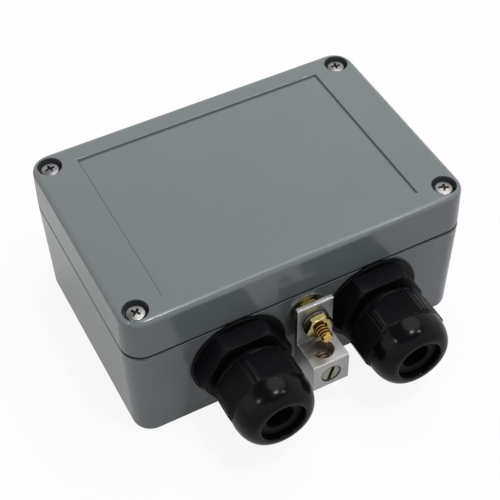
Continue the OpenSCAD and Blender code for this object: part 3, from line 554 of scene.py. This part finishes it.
head = [(0, 0), (0, 3.0), (0.15, 3.15), (1.8, 3.15)]
head_turns = [radians(d) for d in range(15, 91, 15)]
head += [(1.8 + 0.65 * sin(a), 2.5 + 0.65 * cos(a)) for a in head_turns]
head += [(2.62, 1.7), (2.72, 0.9), (2.75, 0)]
recess = [bar((4.0, 1.05, 3.0), (0, 0, 2.6), 0.62, turn) for turn in (radians(38), radians(128))]
recess.append(rings([(1.3, 0), (3.0, 1.1), (3.0, 0)], evenly(20), closed=False))
head_mesh = without(rings(head, evenly(48), closed=False), *recess)
shank_profile = [(-18, 0), (-18, 1.35), (-17.4, 1.68), (0.2, 1.68), (0.2, 0)]
shank = rings(shank_profile, evenly(28), closed=False)
screw_thread = thread(-17.6, -0.9, 2.0, 0.34, 0.7, steel_look, 0.95)
screw_mesh = merged("screw", [head_mesh, shank, screw_thread])
nylon_look = Look("black_nylon_finish", IOR=1.5, Specular_IOR_Level=0.115)
black = nylon_look.colour(nylon_look.noise(7.0), (0.0024, 0.0026, 0.0034), (0.0044, 0.0048, 0.0062))
nylon_look.put("Base Color", black)
nylon_look.put("Roughness", 0.15 + 0.08 * nylon_look.noise(5.0, 4.0))
nylon_look.surface(nylon_look.noise(0.6, 3.0), 0.004, 0.25)
brass_look = Look("brass_finish", Metallic=1.0)
tarnish = brass_look.noise(1.6, 4.0)
brass_look.put("Base Color", brass_look.colour(tarnish, (0.80, 0.60, 0.22), (0.62, 0.45, 0.15)))
brass_look.put("Roughness", 0.2 + 0.2 * brass_look.noise(0.7, 3.0))
brass_look.surface(brass_look.noise(0.3, 3.0), 0.006, 0.1)
for number, (x, y), driven_to in zip((1, 2, 3, 4), CORNERS, (0, 24, 61, 40)):
    driven = Matrix.Rotation(radians(driven_to), 4, "Z")
    place = Matrix.Translation(Vector((x, y, SCREW_SEAT)) * MM) @ driven
    mesh = merged(f"lid_screw_{number}", [screw_mesh], place)
    piece(f"lid_screw_{number}_finished", mesh, steel_look, [f"lid_screw_{number}"])
    dress(f"screw_keeper_{number}", nylon_look)
    dress(f"thread_insert_{number}", brass_look)

# ---------------------------------------------------------------- gland bodies
# Each cable gland's body is moulded nylon: an inlet thread through the wall, a round flange, a
# hexagon and a cap thread, then twelve fingers that the sealing nut closes on the rubber seal. Its
# nylon is duller than that of the polished nuts.
SEAT_Y, GLAND_X, GLAND_Z = -39.75, 24.2, 23.6


def on_front(x, z):
    """From a piece's own axis, pointing out of the case, to its place on the front wall."""
    return Matrix.Translation(Vector((x, SEAT_Y, z)) * MM) @ Matrix.Rotation(radians(90), 4, "X")


def flat_sided(sides, turn=0.0, corner=27.6, steps=5):
    """Angles round a prism, with a pair at each corner, and its radius at any of them."""
    half = 180 / sides
    corner = min(corner, half - 1.2)
    inner = [corner * (2 * k / (2 * steps) - 1) for k in range(2 * steps + 1)]
    angles = []
    for side in range(sides):
        middle = side * 2 * half + degrees(turn)
        shoulder = (half + corner) / 2
        angles += [radians(middle + a) for a in [-half, -shoulder] + inner + [shoulder]]

    def radius_at(angle, r, flat):
        if not flat:
            return r
        off = (degrees(angle - turn) + half) % (2 * half) - half
        return min(r, flat / cos(radians(off)))

    return angles, radius_at


body_flat = 16.2 * cos(radians(30))
body_profile = [
    (-9, 8.2), (-9, 10.3), (-8.6, 10.62), (1, 10.62), (1, 16.35), (1.12, 16.55), (1.3, 16.6),
    (1.95, 16.6), (2.15, 16.52), (2.25, 16.3), (2.25, 16.2, body_flat), (4.6, 16.2, body_flat),
    (6.9, 16.2, body_flat), (8.0, 15.55, body_flat), (8.62, 15.1, body_flat),
    (8.75, 14.8, body_flat - 0.15), (8.75, 10.35), (18.1, 10.35), (18.25, 10.2), (18.25, 8.2),
]
angles, prism = flat_sided(6, radians(30), corner=29.0)
body_shell = rings(body_profile, angles, prism)
finger = bmesh.new()
finger_span = radians(15 - 3.2)
for r in (8.2, 9.7):
    for w in (18.2, 24.6, 25.25):
        pull = 0.45 if w > 25 and r > 9 else 0.0
        for k in range(5):
            a = finger_span * (k / 2 - 1)
            finger.verts.new(Vector(((r - pull) * cos(a), (r - pull) * sin(a), w)) * MM)
finger.verts.ensure_lookup_table()
bmesh.ops.convex_hull(finger, input=finger.verts)
finger_mesh = bpy.data.meshes.new("finger")
finger.to_mesh(finger_mesh)
finger.free()

round_group = bpy.data.node_groups.new("round_an_axis", "GeometryNodeTree")
round_inputs = (("Item", "Object"), ("Count", "Int"), ("Turn", "Float"), ("Finish", "Material"))
for label, kind in round_inputs:
    round_group.interface.new_socket(name=label, in_out="INPUT", socket_type="NodeSocket" + kind)
round_group.interface.new_socket(name="Copies", in_out="OUTPUT", socket_type="NodeSocketGeometry")
grow = Tree(round_group)
item, count, turn, finish = grow.node("NodeGroupInput", out=("Item", "Count", "Turn", "Finish"))
shape = grow.node("GeometryNodeObjectInfo", {}, {"Object": item}, out="Geometry")
spots = grow.node("GeometryNodeMeshLine", {}, {"Count": count, "Offset": (0, 0, 0)})
index = grow.node("GeometryNodeInputIndex")
spin = grow.node("ShaderNodeCombineXYZ", {}, {2: index * (2 * pi) / count + turn})
copies = grow.node(
    "GeometryNodeInstanceOnPoints", {}, {"Points": spots, "Instance": shape, "Rotation": spin})
copies = grow.node("GeometryNodeRealizeInstances", {}, {0: copies})
copies = grow.node("GeometryNodeSetMaterial", {}, {"Geometry": copies, "Material": finish})
grow.node("NodeGroupOutput", {}, {"Copies": copies})


def round_axis(mesh, count, look, turn=0.0):
    """Copies of a mesh, evenly round the Z axis."""
    item = carried(mesh)
    values = {"Item": item, "Count": count, "Turn": turn, "Finish": look.material}
    result = grown(round_group, values)
    bpy.data.objects.remove(item)
    return result


body_look = Look("dull_nylon_finish", IOR=1.5, Specular_IOR_Level=0.09)
dull_black = body_look.colour(
    body_look.noise(7.0), (0.0024, 0.0027, 0.0036), (0.0042, 0.0046, 0.0060))
body_look.put("Base Color", dull_black)
body_look.put("Roughness", 0.36 + 0.1 * body_look.noise(5.0, 4.0))
body_look.surface(body_look.noise(0.6, 3.0), 0.004, 0.35)
for side, label in ((-1, "left"), (1, "right")):
    parts = [body_shell, round_axis(finger_mesh, 12, body_look, radians(15)),
             thread(-8.5, 0.9, 11.2, 0.62, 1.5, body_look, 0.7),
             thread(9.3, 17.9, 11.0, 0.68, 1.5, body_look, 0.7)]
    mesh = merged(f"gland_body_{label}", parts, on_front(side * GLAND_X, GLAND_Z))
    piece(f"gland_body_{label}_finished", mesh, body_look, [f"gland_body_{label}"])

rubber_look = Look("rubber_finish", IOR=1.5, Specular_IOR_Level=0.12)
rubber = rubber_look.colour(rubber_look.noise(3.0), (0.0045, 0.0045, 0.005), (0.009, 0.009, 0.0095))
rubber_look.put("Base Color", rubber)
rubber_look.put("Roughness", 0.5 + 0.2 * rubber_look.noise(1.2, 3.0))
rubber_look.surface(rubber_look.noise(0.4, 3.0), 0.012, 0.15)
for label in ("left", "right"):
    dress(f"gland_washer_{label}", rubber_look)
    from_cad(f"gland_locknut_{label}", nylon_look)

# ---------------------------------------------------------------- sealing nuts
# The nut that closes each gland: a moulded hexagon with turned corners, thirteen fine grip ribs on
# every flat, and a domed nose with a rolled lip. Each nut stands at the angle it was tightened to.
NUT_BACK, HEX_END, NUT_END = 10.75, 22.75, 31.25
RIB_CREST, FLAT_R, CORNER_R, DOME_R = 13.2, 12.84, 14.5, 13.32
dome_turns = [radians(d) for d in (4, 10, 16, 22, 28, 34, 40, 46, 52, 58, 64, 70, 76, 81, 85.5)]
dome = [(HEX_END + 0.12 + (NUT_END - HEX_END - 0.12) * sin(a),
         8.2 + (DOME_R - 8.2) * cos(a) ** 0.92) for a in dome_turns]
nut_profile = [
    (NUT_BACK + 0.35, 11.05), (NUT_BACK + 0.1, 11.3), (NUT_BACK, 11.5), (NUT_BACK, 12.75),
    (NUT_BACK + 0.1, 13.0), (NUT_BACK + 0.35, 13.22), (NUT_BACK + 0.7, 13.3),
    (NUT_BACK + 1.1, 13.3), (NUT_BACK + 1.25, 13.25), (NUT_BACK + 1.3, 13.35, FLAT_R),
    (NUT_BACK + 2.5, 13.95, FLAT_R), (NUT_BACK + 3.4, 14.38, FLAT_R),
    (NUT_BACK + 3.9, CORNER_R, FLAT_R), (NUT_BACK + 7.5, CORNER_R, FLAT_R),
    (HEX_END - 1.1, CORNER_R, FLAT_R), (HEX_END - 0.7, 14.38, FLAT_R),
    (HEX_END - 0.3, 14.05, FLAT_R), (HEX_END - 0.08, 13.62, FLAT_R), (HEX_END, 13.36, FLAT_R),
    (HEX_END, 13.3), (HEX_END + 0.12, DOME_R), *dome, (NUT_END - 0.03, 8.28), (NUT_END, 8.12),
    (NUT_END - 0.1, 7.86), (NUT_END - 0.3, 7.68), (NUT_END - 0.62, 7.6), (29.2, 7.6),
    (29.2, 8.2), (25.65, 10.05), (19.85, 10.1), (19.25, 11.05), (15, 11.05),
]
RIBS = 13
rib_width, rib_step = 0.70, 12.0 / RIBS
rib_low, rib_high = NUT_BACK + 1.35, HEX_END - 0.1
rib = bmesh.new()
rib_rows = []
for w, share in ((0, 0.3), (0.1, 0.72), (0.35, 1), (0.65, 1), (0.9, 0.72), (1, 0.3)):
    if w in (0.1, 0.35):
        station = rib_low + w * 1.2
    elif w in (0.65, 0.9):
        station = rib_high - (1 - w) * 1.6
    else:
        station = rib_low + w * (rib_high - rib_low)
    row = []
    for k in range(9):
        a = pi * k / 8
        crest_height = FLAT_R - 0.04 + (RIB_CREST - FLAT_R + 0.04) * share * sin(a) ** 0.8
        sideways = rib_width / 2 * cos(a) * (0.75 + 0.25 * share)
        row.append(rib.verts.new(Vector((crest_height, sideways, station)) * MM))
    rib_rows.append(row)
for low_row, high_row in zip(rib_rows, rib_rows[1:]):
    for k in range(9):
        rib.faces.new((low_row[k], high_row[k], high_row[(k + 1) % 9], low_row[(k + 1) % 9]))
rib.faces.new(rib_rows[0])
rib.faces.new(list(reversed(rib_rows[-1])))
bmesh.ops.recalc_face_normals(rib, faces=rib.faces)
rib_mesh = bpy.data.meshes.new("rib")
rib.to_mesh(rib_mesh)
rib.free()

row_group = bpy.data.node_groups.new("ribbed_flats", "GeometryNodeTree")
for label, kind in (("Rib", "Object"), ("Per Flat", "Int"), ("Spacing", "Float"), ("Flats", "Int"),
                    ("Turn", "Float"), ("Finish", "Material")):
    row_group.interface.new_socket(name=label, in_out="INPUT", socket_type="NodeSocket" + kind)
row_group.interface.new_socket(name="Ribs", in_out="OUTPUT", socket_type="NodeSocketGeometry")
grow = Tree(row_group)
item, per_flat, spacing, flats, turn, finish = grow.node(
    "NodeGroupInput", out=("Rib", "Per Flat", "Spacing", "Flats", "Turn", "Finish"))
first = (per_flat - 1) * spacing * -0.5
line = grow.node("GeometryNodeMeshLine", {}, {
    "Count": per_flat,
    "Start Location": grow.node("ShaderNodeCombineXYZ", {}, {1: first}),
    "Offset": grow.node("ShaderNodeCombineXYZ", {}, {1: spacing})})
shape = grow.node("GeometryNodeObjectInfo", {}, {"Object": item}, out="Geometry")
one_flat = grow.node("GeometryNodeInstanceOnPoints", {}, {"Points": line, "Instance": shape})
one_flat = grow.node("GeometryNodeRealizeInstances", {}, {0: one_flat})
hub = grow.node("GeometryNodeMeshLine", {}, {"Count": flats, "Offset": (0, 0, 0)})
index = grow.node("GeometryNodeInputIndex")
spin = grow.node("ShaderNodeCombineXYZ", {}, {2: index * (2 * pi) / flats + turn})
around = grow.node(
    "GeometryNodeInstanceOnPoints", {}, {"Points": hub, "Instance": one_flat, "Rotation": spin})
around = grow.node("GeometryNodeRealizeInstances", {}, {0: around})
around = grow.node("GeometryNodeSetMaterial", {}, {"Geometry": around, "Material": finish})
grow.node("NodeGroupOutput", {}, {"Ribs": around})

for side, label, turned in ((-1, "left", 48), (1, "right", 5)):
    middle = radians(turned + 30)
    angles, prism = flat_sided(6, middle)
    template = carried(rib_mesh.copy())
    ribs = grown(row_group, {
        "Rib": template, "Per Flat": RIBS, "Spacing": rib_step * MM, "Flats": 6, "Turn": middle,
        "Finish": nylon_look.material})
    bpy.data.objects.remove(template)
    parts = [rings(nut_profile, angles, prism), ribs]
    mesh = merged(f"gland_nut_{label}", parts, on_front(side * GLAND_X, GLAND_Z))
    piece(f"gland_nut_{label}_finished", mesh, nylon_look, [f"gland_nut_{label}"], crease=38)

# ---------------------------------------------------------------- gland seals
# A soft rubber ring inside each nut, which the fingers press round the cable. No cable is fitted,
# so its bore is open, and its moulded edges are rounded.
seal_low, seal_high, seal_out, seal_hole, seal_edge = 17.5, 28.9, 8.0, 4.6, 0.6
seal_profile = []
for centre_z, centre_r, begin in ((seal_low + seal_edge, seal_hole + seal_edge, 180),
                                  (seal_low + seal_edge, seal_out - seal_edge, 270),
                                  (seal_high - seal_edge, seal_out - seal_edge, 0),
                                  (seal_high - seal_edge, seal_hole + seal_edge, 90)):
    for k in range(6):
        a = radians(begin + 18 * k)
        seal_profile.append((centre_z + seal_edge * sin(a), centre_r + seal_edge * cos(a)))
for side, label in ((-1, "left"), (1, "right")):
    ring = rings(seal_profile, evenly(64))
    mesh = merged(f"gland_seal_{label}", [ring], on_front(side * GLAND_X, GLAND_Z))
    piece(f"gland_seal_{label}_finished", mesh, rubber_look, [f"gland_seal_{label}"])

# ---------------------------------------------------------------- earth stud
# A brass machine screw, its slotted head inside the case and its threaded end outside. The thread
# is rolled: brass crests, with painted shade down in the grooves.
STUD_Z = 31.9
stud_look = Look("stud_brass_finish", Metallic=1.0)
x, y, z = stud_look.node("ShaderNodeSeparateXYZ", {}, {0: stud_look.place}, out=(0, 1, 2))
from_axis = (x * x + (z - STUD_Z * MM) * (z - STUD_Z * MM)).math("SQRT")
# painted shade: the thread's grooves, nearer the axis, are coloured dark brown
crest_vs_groove_shade = stud_look.smooth(from_axis, 1.80 * MM, 2.02 * MM)
crest_vs_groove_shade = crest_vs_groove_shade.math("MAXIMUM", y < -54.1 * MM)
stud_look.put("Base Color", stud_look.colour(crest_vs_groove_shade, (0.10, 0.038, 0.007), (0.64, 0.44, 0.13)))
stud_look.put("Roughness", 0.5 - 0.28 * crest_vs_groove_shade + 0.1 * stud_look.noise(0.6, 3.0))
stud_look.surface(stud_look.noise(0.25, 3.0), 0.008, 0.05)
stud_profile = [
    (-3.4, 0), (-3.4, 1.6), (14.3, 1.6), (14.6, 1.85), (14.8, 1.85), (15.2, 1.5), (15.2, 0)]
stud_core = rings(stud_profile, evenly(32), closed=False)
stud_head = [
    (0, 0), (0, 4), (-0.9, 4), (-1.5, 3.85), (-2.0, 3.4), (-2.35, 2.7), (-2.6, 1.6), (-2.6, 0)]
stud_top = without(rings([(z - 3.4, r) for z, r in stud_head], evenly(40), closed=False),
                   bar((9, 1.1, 2.4), (0, 0, -6.0)))
stud_thread = thread(-3.2, 14.45, 2.1, 0.52, 1.1, stud_look, 0.6)
mesh = merged("earth_stud", [stud_core, stud_top, stud_thread], on_front(0, STUD_Z))
piece("earth_stud_finished", mesh, stud_look, ["earth_stud"])

# ---------------------------------------------------------------- nuts and washers of the stud
# A plain washer and a brass nut clamp the stud to the wall, a toothed washer bites the lug, and a
# split washer under the outer nut keeps it tight. The nuts are turned from hexagon bar, and the
# plain washer has a painted highlight on its rim round a face coloured dark yellow-brown.


def brass_nut(name, low, turned):
    high, flat, corner = low + 2.5, 4.25, 4.25 / cos(radians(30))
    angles, prism = flat_sided(6, radians(turned + 30), corner=28.5, steps=3)
    profile = [
        (low + 0.3, 2.15), (low, 2.5), (low, 4.05), (low + 0.16, 4.4, flat),
        (low + 0.4, corner, flat), (low + 1.25, corner, flat), (high - 0.4, corner, flat),
        (high - 0.16, 4.4, flat), (high, 4.05), (high, 2.5), (high - 0.3, 2.15),
    ]
    mesh = merged(name, [rings(profile, angles, prism)], on_front(0, STUD_Z))
    piece(name + "_finished", mesh, nut_look, [name])


nut_look = Look("nut_brass_finish", Metallic=1.0)
brass = nut_look.colour(nut_look.noise(1.3, 4.0), (0.58, 0.50, 0.22), (0.40, 0.34, 0.13))
nut_look.put("Base Color", brass)
nut_look.put("Roughness", 0.15 + 0.14 * nut_look.noise(0.5, 3.0))
nut_look.surface(nut_look.noise(0.3, 3.0), 0.008, 0.08)
WALL_WASHER, SPLIT_WASHER, TANG = 1.6, 0.9, 1.8
brass_nut("wall_nut", WALL_WASHER, 0)
TANG_W = 5.35
SPLIT_W = TANG_W + TANG
NUT_W = SPLIT_W + SPLIT_WASHER
brass_nut("lug_nut", NUT_W, 5)
zinc_look = Look("zinc_plate_finish", Metallic=1.0)
zinc_grey = zinc_look.colour(zinc_look.noise(1.5), (0.20, 0.195, 0.18), (0.34, 0.33, 0.31))
# painted highlight: the edges are coloured near white
zinc_look.put("Base Color", zinc_look.colour(zinc_look.edges(0.15), zinc_grey, (0.80, 0.79, 0.78)))
zinc_look.put("Roughness", 0.26 + 0.2 * zinc_look.noise(0.8, 3.0))
zinc_look.surface(zinc_look.noise(0.4, 3.0), 0.008, 0.1)
washer_look = Look("bright_washer_finish", Metallic=1.0)
y = washer_look.node("ShaderNodeSeparateXYZ", {}, {0: washer_look.place}, out=1)
front_face = y < (SEAT_Y - WALL_WASHER + 0.05) * MM
# painted highlight: the washer's rim and edges are coloured near white, its front face dark
# yellow-brown
washer_face_and_rim_highlight = washer_look.colour(front_face, (0.85, 0.84, 0.83), (0.30, 0.26, 0.14))
washer_look.put("Base Color", washer_face_and_rim_highlight)
washer_look.put("Roughness", 0.2 + 0.16 * washer_look.noise(0.8, 3.0))
washer_look.surface(washer_look.noise(0.4, 3.0), 0.003, 0.1)
from_cad("wall_washer", washer_look)
from_cad("tooth_washer", zinc_look)
spring_look = Look("spring_steel_finish", Metallic=1.0)
spring = spring_look.colour(spring_look.noise(0.8), (0.10, 0.095, 0.09), (0.24, 0.23, 0.22))
spring_look.put("Base Color", spring)
spring_look.put("Roughness", 0.3 + 0.2 * spring_look.noise(0.5, 3.0))
spring_look.surface(spring_look.noise(0.3, 3.0), 0.008, 0.08)
coil = bmesh.new()
coil_section = (
    (2.4, 0.08), (2.5, 0), (4.55, 0), (4.7, 0.12), (4.7, 0.6), (4.55, 0.72), (2.5, 0.72),
    (2.4, 0.64))
rows = []
for k in range(49):
    a = radians(205 + 350 * k / 48)
    lift = SPLIT_W + 0.04 + 0.1 * k / 48
    row = []
    for r, w in coil_section:
        row.append(coil.verts.new(Vector((r * cos(a), r * sin(a), lift + w)) * MM))
    rows.append(row)
for first_row, next_row in zip(rows, rows[1:]):
    for k in range(8):
        coil.faces.new((first_row[k], first_row[(k + 1) % 8], next_row[(k + 1) % 8], next_row[k]))
coil.faces.new(rows[0])
coil.faces.new(rows[-1])
bmesh.ops.recalc_face_normals(coil, faces=coil.faces)
coil_mesh = bpy.data.meshes.new("coil")
coil.to_mesh(coil_mesh)
coil.free()
spring_washer = merged("split_washer", [coil_mesh], on_front(0, STUD_Z))
piece("split_washer_finished", spring_washer, spring_look, ["split_washer"])

# ---------------------------------------------------------------- earth lug
# The lug is a length sawn from an aluminium extrusion: an upright tang on a square block, drilled
# down for the wire. Die lines run along it; a painted highlight runs along its upper edges, painted
# shade darkens and browns the drilled hole, and a ring of painted shade lies round the clamp screw.
CLAMP_Z, HOLE_Y, HOLE_R, BLOCK_TOP = 17.2, -52.1, 3.78, 23.4
lug_look = Look("lug_aluminium_finish", Metallic=1.0)
die_lines = lug_look.noise(0.14, 3.0, 0.6, stretch=(60, 1, 1))
blotch = lug_look.noise(2.4, 4.0)
x, y, z = lug_look.node("ShaderNodeSeparateXYZ", {}, {0: lug_look.place}, out=(0, 1, 2))
from_hole = (x * x + (y - HOLE_Y * MM) * (y - HOLE_Y * MM)).math("SQRT")
# painted shade: inside the drilled hole the colour is darker and browner
hole_shade = (from_hole < HOLE_R * MM) * (z < BLOCK_TOP * MM)
grain = lug_look.noise(0.4, 2.0)
mottle = die_lines * 0.3 + blotch * 0.3 + grain * 0.4
outside = lug_look.colour(mottle, (0.23, 0.23, 0.227), (0.62, 0.62, 0.614))
in_corner = (y > -47.9 * MM) * (z < 24.2 * MM) * (z > 22.8 * MM)
# painted highlight: the upper edges are coloured near white and made glossier
edge_highlight = lug_look.edges(0.3) * (1 - in_corner) * lug_look.smooth(z, 22.6 * MM, 23.1 * MM)
outside = lug_look.colour(edge_highlight, outside, (0.9, 0.9, 0.9))
from_clamp = (x * x + (z - CLAMP_Z * MM) * (z - CLAMP_Z * MM)).math("SQRT")
# painted shade: a dark ring on the lug's front round the clamp screw
clamp_gap_shade = (y < -57.6 * MM) * (from_clamp < 3.6 * MM)
outside = lug_look.colour(clamp_gap_shade, outside, (0.10, 0.09, 0.07))
lug_look.put("Base Color", lug_look.colour(hole_shade, outside, (0.42, 0.36, 0.30)))
lug_look.put("Roughness", 0.26 + 0.16 * blotch + 0.08 * die_lines - 0.2 * edge_highlight)
lug_look.surface(die_lines * 0.5 + lug_look.noise(0.3, 3.0) * 0.5, 0.018, 0.2)
from_cad("earth_lug", lug_look)

# ---------------------------------------------------------------- clamp screw of the lug
# A headless slotted steel screw in the lug's front. Its threaded end stands across the wire hole,
# where it presses on the wire, with a painted highlight on its crests and painted brown shade in
# its grooves.
clamp_front, clamp_tip = TANG_W + 12.7 - 0.2, 10.14
clamp_profile = [
    (clamp_tip, 0), (clamp_tip, 2.1), (clamp_tip + 0.4, 2.56), (clamp_front - 0.35, 2.56),
    (clamp_front - 0.3, 3.05), (clamp_front - 0.08, 3.15), (clamp_front, 3.0), (clamp_front, 0)]
clamp_body = rings(clamp_profile, evenly(40), closed=False)
clamp_body = without(clamp_body, bar((1.35, 8, 2.8), (0, 0, clamp_front), turn=radians(-16.5)))
clamp_look = Look("clamp_steel_finish", Metallic=1.0)
cx, cy, cz = clamp_look.node("ShaderNodeSeparateXYZ", {}, {0: clamp_look.place}, out=(0, 1, 2))
face = cy < -57.2 * MM
off_axis = (cx * cx + (cz - CLAMP_Z * MM) * (cz - CLAMP_Z * MM)).math("SQRT")
# painted shade in the thread's grooves and a painted highlight on its crests
crest_vs_groove_shade = clamp_look.smooth(off_axis, 2.85 * MM, 3.1 * MM)
thread_shade_and_highlight = clamp_look.colour(crest_vs_groove_shade, (0.20, 0.14, 0.11), (0.95, 0.86, 0.80))
clamp_look.put("Base Color", clamp_look.colour(face, thread_shade_and_highlight, (0.34, 0.32, 0.26)))
clamp_look.put("Roughness", 0.28 + 0.2 * clamp_look.noise(0.6, 3.0))
clamp_look.surface(clamp_look.noise(0.35, 3.0), 0.01, 0.1)
clamp_thread = thread(clamp_tip + 0.45, clamp_front - 0.8, 3.2, 0.64, 1.27, clamp_look, 0.7)
mesh = merged("clamp_screw", [clamp_body, clamp_thread], on_front(0, CLAMP_Z))
piece("clamp_screw_finished", mesh, clamp_look, ["clamp_screw"])

# ---------------------------------------------------------------- earth wire inside
# A tinned ring terminal under the stud's head, and a short green and yellow wire from its barrel to
# the terminal block on the board.
tin_look = Look("tin_plate_finish", Metallic=1.0)
tin = tin_look.colour(tin_look.noise(2.0), (0.60, 0.60, 0.59), (0.76, 0.76, 0.75))
tin_look.put("Base Color", tin)
tin_look.put("Roughness", 0.24 + 0.2 * tin_look.noise(1.2, 3.0))
tin_look.surface(tin_look.noise(0.8, 3.0), 0.01, 0.08)
from_cad("ring_terminal", tin_look)
wire_look = Look("earth_wire_finish", IOR=1.5)
wx = wire_look.node("ShaderNodeSeparateXYZ", {}, {0: wire_look.place}, out=0)
stripe = (wx + 0.25 * MM).math("ABSOLUTE") < 0.55 * MM
wire_look.put("Base Color", wire_look.colour(stripe, (0.02, 0.22, 0.05), (0.75, 0.62, 0.03)))
wire_look.put("Roughness", 0.34 + 0.1 * wire_look.noise(1.5, 3.0))
wire_look.surface(wire_look.noise(0.8, 2.0), 0.01)
from_cad("earth_wire", wire_look, 50)

# ---------------------------------------------------------------- circuit board
# The board inside, held on four posts by four screws: green solder mask with broad copper runs
# under it.
board_look = Look("solder_mask_finish", IOR=1.5)
bx, by = board_look.node("ShaderNodeSeparateXYZ", {}, {0: board_look.place}, out=(0, 1))
lane = ((bx * 1000 + 60) / 2.5).math("FRACT")
runs = (lane > 0.3) * (by > -3 * MM) * (by < 30 * MM)
board_look.put("Base Color", board_look.colour(runs, (0.010, 0.085, 0.035), (0.03, 0.17, 0.07)))
board_look.put("Roughness", 0.28 + 0.1 * board_look.noise(3.0, 3.0))
board_look.surface(runs * 0.6 + board_look.noise(0.5, 2.0) * 0.2, 0.03, 0.1)
dress("circuit_board", board_look)
for number in range(1, 5):
    from_cad(f"board_screw_{number}", zinc_look)

# ---------------------------------------------------------------- sockets
# Two shielded modular sockets: a folded tinplate shield over a black moulding, with eight gilt
# spring wires in each.
black_look = Look("moulding_finish", IOR=1.5)
moulding = black_look.colour(black_look.noise(2.0), (0.012, 0.012, 0.013), (0.022, 0.022, 0.023))
black_look.put("Base Color", moulding)
black_look.put("Roughness", 0.42 + 0.12 * black_look.noise(1.0, 3.0))
black_look.surface(black_look.noise(0.25, 2.0), 0.008, 0.1)
gold_look = Look("gilt_finish", Metallic=1.0)
gilt = gold_look.colour(gold_look.noise(1.0), (0.85, 0.62, 0.24), (0.93, 0.71, 0.32))
gold_look.put("Base Color", gilt)
gold_look.put("Roughness", 0.2 + 0.1 * gold_look.noise(0.5, 2.0))
for label in ("left", "right"):
    from_cad(f"jack_shield_{label}", tin_look)
    from_cad(f"jack_body_{label}", black_look)
    from_cad(f"jack_contacts_{label}", gold_look)

# ---------------------------------------------------------------- surge parts
# A gas tube and a moulded diode for each pair of lines: the tubes are white ceramic between plated
# ends and a plated middle ring.
tube_look = Look("gas_tube_finish")
tx = tube_look.node("ShaderNodeSeparateXYZ", {}, {0: tube_look.place}, out=0)
along = ((tx * 1000 + 30 + 20 * 4) / 20 + 0.5).math("FRACT") * 20 - 10
reach = along.math("ABSOLUTE")
metal = (reach > 3.1).math("MAXIMUM", reach < 0.45)
tube_look.put("Base Color", tube_look.colour(metal, (0.78, 0.77, 0.72), (0.66, 0.65, 0.62)))
tube_look.put("Metallic", metal)
tube_look.put("Roughness", 0.32 + 0.12 * tube_look.noise(1.0, 3.0))
tube_look.surface(tube_look.noise(0.5, 2.0), 0.006, 0.1)
for number in range(1, 5):
    from_cad(f"gas_tube_{number}", tube_look)
    from_cad(f"diode_{number}", black_look)

# ---------------------------------------------------------------- earth terminal block
# A small green screw terminal on the board, where the earth wire ends.
block_look = Look("terminal_finish", IOR=1.5)
green = block_look.colour(block_look.noise(3.0), (0.03, 0.26, 0.10), (0.045, 0.32, 0.13))
block_look.put("Base Color", green)
block_look.put("Roughness", 0.36 + 0.1 * block_look.noise(1.0, 3.0))
block_look.surface(block_look.noise(0.4, 2.0), 0.008, 0.15)
from_cad("terminal_block", block_look)
from_cad("terminal_screw", zinc_look)
